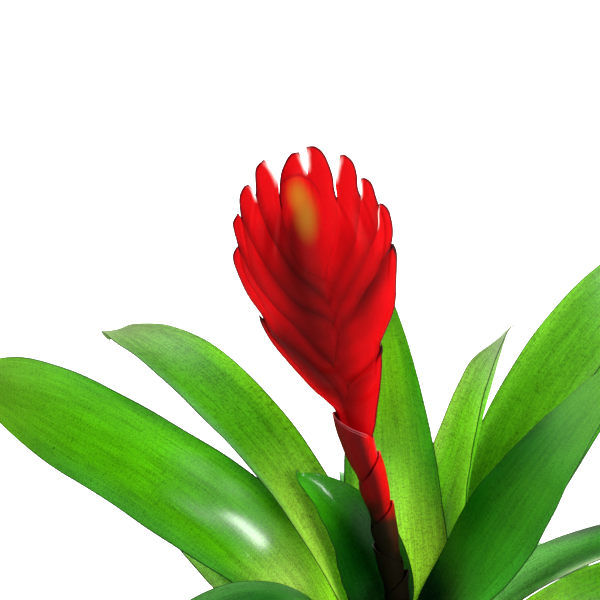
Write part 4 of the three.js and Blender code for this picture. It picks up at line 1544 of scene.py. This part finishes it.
# The sword's bracts from the lowest up, with the points of the keel, tip first, and of the margin
# below the tip.
BRACTS: list[Bract] = [
    Bract(
        "bract_left_1", LEFT, (2, -13.5), 1.9,
        [[-31.8, 57.2], [-31.1, 52.2], [-26.8, 40.9], [-15.1, 20.5], [-9.8, 13.6], [-6.1, 8],
         [-5.2, 2.5], [-5, -4]],
        [[-28.2, 51.7], [-24.3, 46.6], [-18.1, 39.5], [-12.7, 32.5], [-6.5, 21.5], [-3.2, 12.5],
         [-2, 5], [-1.2, -2], [0.4, -8]],
        layer_from=-3.1, lift=1.2,
    ),
    Bract(
        "bract_right_1", RIGHT, (2.1, -12), 1.1,
        [[17.9, 36.5], [17.8, 33.2], [16.9, 30], [16.5, 26.7], [15.2, 20.1], [13.4, 12.2],
         [11.7, 6.1], [9.9, -1.5], [7.7, -7.7]],
        [[15.8, 30.8], [12.6, 28.7], [9.3, 26.3], [5.9, 23.5], [2.9, 20.6], [1.1, 17.4],
         [-0.9, 11.9], [-2.8, 7.5], [-4.2, 2.5], [-4.6, -2], [-3.6, -7]],
        layer_from=2.4, lift=0,
    ),
    Bract(
        "bract_left_2", LEFT, (-0.1, 7.9), 1.35,
        [[-35.7, 89.5], [-37.8, 86], [-37.9, 80.4], [-34.9, 67.4], [-30.4, 57.1], [-29.6, 53.2],
         [-28.6, 49.3], [-26.8, 45.6], [-9, 15.2], [-3.1, 7.9]],
        [[-31.9, 77.3], [-27.9, 67.9], [-22, 58.3], [-17, 52.1], [-4.2, 29.9], [0.4, 17],
         [2.3, 7.9]],
    ),
    Bract(
        "bract_right_2", RIGHT, (-0.5, 13.8), 1.1,
        [[28.7, 81.2], [29.2, 75.5], [27.1, 61.8], [26.1, 55.6], [24, 49.3], [19, 40.1],
         [17.3, 36.8], [16.6, 33.4], [15.2, 30.4], [13.8, 27.1], [12.8, 23.4], [11.6, 19.8]],
        [[22.7, 75.4], [20.2, 70.6], [12.2, 61.3], [6.7, 52.8], [2.6, 47.1], [0.4, 44.1],
         [-2.1, 37.2], [-3.3, 29.6], [-2.9, 13.8]],
    ),
    Bract(
        "bract_left_3", LEFT, (-1, 19.7), 1.15,
        [[-32.9, 104.2], [-35.2, 100.7], [-35.8, 98], [-35.1, 88.4], [-35.1, 81.2],
         [-33.7, 73.6], [-30.7, 66.1], [-25, 50], [-14.3, 29.6], [-8.1, 22.4], [-4, 19.7]],
        [[-26.9, 84.8], [-18.2, 67.3], [-13.1, 60.6], [-6.3, 55.1], [-0.9, 47.9], [1.9, 34.2],
         [1.4, 19.7]],
    ),
    Bract(
        "bract_right_3", RIGHT, (-1.5, 25.1), 1.1,
        [[25.3, 99.7], [26.7, 99], [27.9, 97.1], [28.7, 94.8], [28.9, 86], [25.4, 72.9],
         [22.1, 54.2], [20.9, 50.4], [19, 46.8], [17, 43.2], [15.5, 39.3], [13.1, 31.2],
         [1.5, 25.1]],
        [[24.2, 96.2], [21.5, 85.9], [6.2, 63.2], [-0.8, 49.5], [-2.8, 41.7], [-3.9, 25.1]],
    ),
    Bract(
        "bract_left_4", LEFT, (-2, 30.4), 1.16,
        [[-26.9, 115.7], [-28.5, 115], [-31.6, 107.4], [-31.5, 81.4], [-30, 73.2], [-25.3, 60.9],
         [-22.3, 52.2], [-16.4, 39.3], [-13.5, 35.4], [-5, 30.4]],
        [[-24.9, 112.1], [-22.4, 96.7], [-17.1, 82.7], [-13.4, 75.6], [-5.8, 65.5], [0, 53.6],
         [1, 44.5], [0.4, 30.4]],
    ),
    Bract(
        "bract_right_4", RIGHT, (-2.2, 35.7), 1.15,
        [[19.2, 111.6], [20.8, 111.4], [22.4, 109.8], [23.4, 107.4], [24.2, 101.6], [25.4, 95.3],
         [25.9, 91.9], [25.3, 84.8], [20.6, 65.9], [18.3, 53.5], [12.8, 41.8], [0.8, 35.7]],
        [[17.4, 100.4], [13, 85.3], [5.9, 73.2], [-2.5, 56], [-3.8, 39.8], [-4.6, 35.7]],
    ),
    Bract(
        "bract_left_5", LEFT, (-2.4, 41), 1.16,
        [[-18.7, 125.6], [-21.8, 122.9], [-23, 120.3], [-24.3, 110.7], [-27.6, 100], [-28.3, 92],
         [-26.8, 75], [-20.6, 57.7], [-17.6, 48.7], [-14.4, 45.2], [-5.4, 41]],
        [[-15.8, 119.6], [-14.6, 113.8], [-15.1, 103.7], [-12.6, 84.9], [-8.9, 77.6],
         [-3.2, 71.4], [0.6, 63.7], [0, 41]],
    ),
    Bract(
        "bract_right_5", RIGHT, (-2.6, 46.2), 1.14,
        [[12.1, 122.7], [13.8, 122.7], [16.8, 118.8], [17.6, 112.9], [17.3, 106.3], [20.1, 95.8],
         [21.4, 84.2], [17.5, 68], [15.8, 54.9], [13.2, 51.3], [0.4, 46.2]],
        [[8.7, 112.2], [8.2, 103.3], [5.7, 90.3], [-4, 62.3], [-5, 46.2]],
    ),
    Bract(
        "bract_left_6", LEFT, (-2.7, 51.4), 0.92,
        [[-4.1, 126.5], [-7.9, 125.7], [-12.5, 118.6], [-14.7, 108.8], [-15.5, 101.6],
         [-22.7, 78.8], [-23.2, 74.6], [-22, 70.5], [-20.4, 66.4], [-17.5, 58.1], [-5.7, 51.4]],
        [[-1.9, 113.4], [-0.9, 88.3], [0.4, 70.4], [-0.3, 51.4]],
    ),
    Bract(
        "bract_right_6", RIGHT, (-2.7, 56.5), 0.54,
        [[-1, 128.4], [2.7, 127.7], [5.8, 123.5], [7.7, 114.5], [8.1, 104.2], [15, 82.3],
         [15.5, 78.2], [15, 74.1], [14.4, 70], [12.3, 62.1], [0.3, 56.5]],
        [[-2.5, 113], [-4.6, 101.4], [-6.3, 85.2], [-6.2, 74.7], [-5, 67.6], [-5.1, 56.5]],
    ),
    Bract(
        "inner_bud", LEFT, (-2.7, 61.6), 0.24,
        [[-5.6, 116.9], [-8.6, 116.4], [-10.9, 113.1], [-13.8, 95.1], [-19.2, 77.5],
         [-19.6, 74.3], [-19.3, 71], [-17.7, 68.1], [-15, 66.1], [-5.7, 61.6]],
        [[-3.2, 115.9], [-0.4, 109.1], [-0.6, 76.2], [-0.3, 61.6]],
    ),
]


@dataclass
class Sword:
    """The bracts in their two ranks."""

    bracts: list[Bract] = field(default_factory=lambda: BRACTS)

    def neighbour(self, index: int, way: int) -> Bract | None:
        """The next bract of the same rank, outwards for way -1 and inwards for way 1.

        Args:
            index: Which bract is asked about.
            way: The way to look.

        Returns:
            The neighbour, or None.
        """
        here = self.bracts[index]
        rest = self.bracts[index + 1 :] if way > 0 else self.bracts[:index][::-1]
        return next((bract for bract in rest if bract.side is here.side), None)

    def add(self) -> None:
        """Builds every bract."""
        for index, bract in enumerate(self.bracts):
            inwards = range(len(self.bracts) - 1, index - 1, -1)
            stacked = [(self.bracts[k], self.neighbour(k, 1)) for k in inwards]
            rank = Rank(self.neighbour(index, -1), stacked, self.bracts)
            bract.add(index + 1, rank, BRACT_FINISHES.get(bract.name, BractFinish()))


# ---- The stalk ----

# Across, up and radius along the middle of the stalk, from the stock to the top of the rachis.
STALK: list[tuple[float, float, float]] = [
    (1.2, 44.3, 3.9), (-1.2, 58, 3.7), (-4, 74, 3.7), (-6.7, 90, 3.8), (-9.2, 102, 3.9),
    (-11.9, 114, 4.2), (-15.1, 126, 4.2), (-17.1, 131, 3.9), (-19, 136.5, 2.8), (-21.4, 145, 2.7),
    (-22.7, 150, 1.9), (-24, 157, 1.7), (-26.8, 168.5, 1.4), (-31.4, 189.5, 1.2), (-34, 206, 0.9),
]

# The stalk's top, where the bracts hide it, stands back and thins out over these heights.
TUCK_FROM, TUCK_OVER, TUCK_BACK, TUCK_THINNING = 139.0, 11.0, 3.0, 0.45

FRONT = np.array([0.0, -1.0, 0.0])


@dataclass
class Sheath:
    """One small bract that clasps the stalk and runs up to a tip on one side of it."""

    name: str
    side: Side
    foot: float
    tip: float
    radii: tuple[float, ...]
    stand_off: float
    narrow_from: float
    flatness: float
    membrane: float = 0.0
    rows: int = 64
    half_columns: int = 20

    def sheet(self, stalk: "Stalk") -> Sheet:
        """The sheath as a thickened grid.

        Args:
            stalk: The stalk that it clasps.

        Returns:
            The sheet.
        """
        x = np.linspace(0.0, 1.0, self.rows + 1)
        t = 0.994 * (0.35 * x + 0.65 * (1 - (1 - x) ** 1.9))
        middles, _, across = stalk.frames(self.foot + (self.tip - self.foot) * t)
        narrowed = np.clip((t - self.narrow_from) / (1 - self.narrow_from), 0.0, 1.0)
        wrap = 3.0 * (1 - narrowed) ** 0.7
        radius = np.interp(t, np.linspace(0.0, 1.0, len(self.radii)), self.radii)
        deep = radius * (1 + (self.flatness - 1) * t**2)
        u = np.linspace(-1.0, 1.0, 2 * self.half_columns + 1)
        angle = wrap[:, None] * u
        cos, sin = np.cos(angle), np.sin(angle)
        wide = radius[:, None] + self.stand_off * t[:, None] ** 4 * np.maximum(cos, 0.0) ** 2
        outwards = across[:, None] * (self.side.value * wide * cos)[..., None]
        middle = middles[:, None] + outwards
        middle = middle + FRONT * (self.side.value * deep[:, None] * sin)[..., None]
        along = np.tile(t[:, None], (1, len(u)))
        to_tip = (1 - t[:, None]) * (self.tip - self.foot)
        to_margin = (1 - np.abs(u)) * wrap[:, None] * radius[:, None]
        # flank steers the painted light and shade across the sheath.
        paint = {
            "flank": self.side.value * cos,
            "margin_mm": np.minimum(to_margin, to_tip + 0.3),
        }
        thin = 0.6 * (1 - 0.5 * np.abs(u)[None] ** 4) * np.ones((self.rows + 1, 1))
        place = (np.tile((u + 1) / 2, (self.rows + 1, 1)), along)
        return Sheet(middle, grid_normals(middle), thin, paint, place)

    def add(self, stalk: "Stalk") -> None:
        """Builds the sheath and dresses it.

        Args:
            stalk: The stalk that it clasps.
        """
        piece = self.sheet(stalk).build(self.name + "_wrap")
        finish = StalkFinish(membrane=self.membrane)
        settle(piece, self.name, finish.material(self.name + "_skin"))


# The stalk's sheaths from the lowest up: name, side, heights of the foot and the tip, radii between
# them, how far the tip stands off, where it narrows, its flatness and its pale margin.
SHEATHS: list[Sheath] = [
    Sheath("stalk_sheath_1", RIGHT, 49, 74, (4.4, 4.85, 5.5, 5.65, 6), 1.5, 0.5, 1),
    Sheath("stalk_sheath_2", LEFT, 64, 90, (4.45, 4.65, 5.6, 5.8, 6), 0.4, 0.55, 1),
    Sheath("stalk_sheath_3", RIGHT, 80, 109.5, (4.6, 4.8, 5.75, 5.95, 6.25), 0.4, 0.6, 1),
    Sheath("stalk_sheath_4", RIGHT, 98, 133, (4.65, 4.7, 6.15, 6.8, 7.6), 0, 0.6, 1),
    Sheath("stalk_sheath_5", LEFT, 116.5, 156.5, (4.95, 5.6, 6.8, 7.4, 7.5), 0.2, 0.6, 0.82, 2.2),
]


@dataclass
class Stalk:
    """The flower stalk with the small sheaths that clasp it."""

    sheaths: list[Sheath] = field(default_factory=lambda: SHEATHS)
    finish: StalkFinish = StalkFinish()
    rings: int = 160
    sides: int = 32

    def __post_init__(self) -> None:
        """Lays the smooth line of the stalk, carried on a little beyond both its ends."""
        line = smooth_curve(STALK, 200)
        self.line = np.vstack([4 * line[0] - 3 * line[1], line, 4 * line[-1] - 3 * line[-2]])

    def frames(self, heights: Points) -> tuple[Points, Points, Points]:
        """Middle, radius and direction across the stalk at heights.

        Args:
            heights: The heights, in millimetres.

        Returns:
            Middles, radii, and unit directions to the right.
        """
        x, z, radius = self.line.T
        at = np.interp(heights, z, x)
        lean = np.interp(heights + 1.0, z, x) - np.interp(heights - 1.0, z, x)
        long = np.hypot(lean, 2.0)
        across = np.stack([2.0 / long, 0 * lean, -lean / long], -1)
        return np.stack([at, 0 * at, heights], -1), np.interp(heights, z, radius), across

    def add(self) -> None:
        """Builds the stalk and its sheaths."""
        share = np.linspace(0.0, 1.0, self.rings + 1)
        middles, radii, across = self.frames(STALK[0][1] + (STALK[-1][1] - STALK[0][1]) * share)
        tucked = ease((middles[:, 2] - TUCK_FROM) / TUCK_OVER)
        middles[:, 1] += TUCK_BACK * tucked
        radii = radii * (1 - TUCK_THINNING * tucked)
        across[0] = (1.0, 0.0, 0.0)
        frames = np.stack([across, np.tile(FRONT, (len(share), 1))], 1)
        angle = np.linspace(0, 2 * math.pi, self.sides, endpoint=False)
        ribs = 1 - 0.03 * (0.5 + 0.5 * np.sin(7 * angle[None] + 9 * share[:, None]))
        piece = tube("stalk_stem", middles, frames, radii[:, None] * ribs, self.sides)
        settle(piece, "flower_stalk", self.finish.material("stalk_skin"))
        for sheath in self.sheaths:
            sheath.add(self)


# ---- The studio ----


@dataclass
class SoftBox:
    """One soft light with straight sides that looks at a point of the plant."""

    name: str
    place: tuple[float, float, float]
    aim: tuple[float, float, float]
    wide: float
    tall: float
    power: float
    colour: Colour = (1.0, 1.0, 1.0)

    def add(self) -> None:
        """Hangs the light."""
        lamp = bpy.data.lights.new(self.name, "AREA")
        lamp.shape, lamp.size, lamp.size_y = "RECTANGLE", self.wide, self.tall
        lamp.energy, lamp.color = self.power, self.colour
        holder = add_object(self.name, lamp)
        holder.location = self.place
        ahead = Vector(self.aim) - Vector(self.place)
        holder.rotation_euler = ahead.to_track_quat("-Z", "Y").to_euler()


@dataclass
class Studio:
    """Pale floor, soft white light and the camera."""

    aim: tuple[float, float, float] = (-0.0454, 0.0, 0.208)
    elevation: float = 24.0
    distance: float = 0.8
    lens: float = 114.29
    sky: float = 0.4
    lights: tuple[SoftBox, ...] = (
        SoftBox("back_light", (-0.35, 0.85, 1.15), (0.0, 0.0, 0.12), 0.45, 0.45, 60.0),
        SoftBox("low_left_light", (-1.07, 0.357, 0.196), (0.07, -0.014, 0.154), 0.1, 0.4, 2.0),
        SoftBox("front_light", (0.1, -1.5, 1.5), (0.0, 0.0, 0.15), 1.2, 0.8, 6.5),
        SoftBox("front_right_light", (0.685, -0.823, 0.52), (-0.065, 0.01, 0.09), 0.95, 0.22, 17.0),
        SoftBox("right_light", (0.82, -0.14, 0.71), (-0.034, 0.02, 0.104), 0.1, 0.1, 1.6),
    )

    def add_camera(self) -> None:
        """Sets the camera up."""
        camera = bpy.data.cameras.new("camera")
        camera.lens, camera.sensor_width, camera.sensor_fit = self.lens, 36.0, "HORIZONTAL"
        holder = add_object("camera", camera)
        tilt = math.radians(self.elevation)
        back, above = self.distance * math.cos(tilt), self.distance * math.sin(tilt)
        holder.location = (self.aim[0], self.aim[1] - back, self.aim[2] + above)
        holder.rotation_euler = (math.pi / 2 - tilt, 0.0, 0.0)
        bpy.context.scene.camera = holder

    def add_floor(self) -> None:
        """Lays the pale floor, which is not part of the plant."""
        half, sunk = 6.0, 0.0003
        mesh = bpy.data.meshes.new("floor")
        corners = [(-half, -half, 0), (half, -half, 0), (half, half, 0), (-half, half, 0)]
        mesh.from_pydata(corners, [], [(0, 1, 2, 3)])
        floor = add_object("floor", mesh)
        floor.location.z = -sunk
        white = Skin("floor_white")
        white.set(Base_Color=(0.93, 0.93, 0.93), Roughness=0.9)
        mesh.materials.append(white.material)

    def add(self) -> None:
        """Builds the whole studio."""
        scene = bpy.context.scene
        scene.view_settings.view_transform = "Standard"
        world = bpy.data.worlds.new("sky")
        world.use_nodes = True
        sky = Wiring(world.node_tree)
        sky.fill(world.node_tree.nodes["Background"], {0: (1.0, 1.0, 1.0), 1: self.sky})
        scene.world = world
        for light in self.lights:
            light.add()
        self.add_camera()
        self.add_floor()


def main() -> None:
    """Builds the plant and the studio round it."""
    logging.basicConfig(level=logging.INFO, format="%(name)s %(message)s")
    Studio().add()
    Rosette().add()
    Stalk().add()
    Sword().add()


if __name__ == "__main__":
    main()
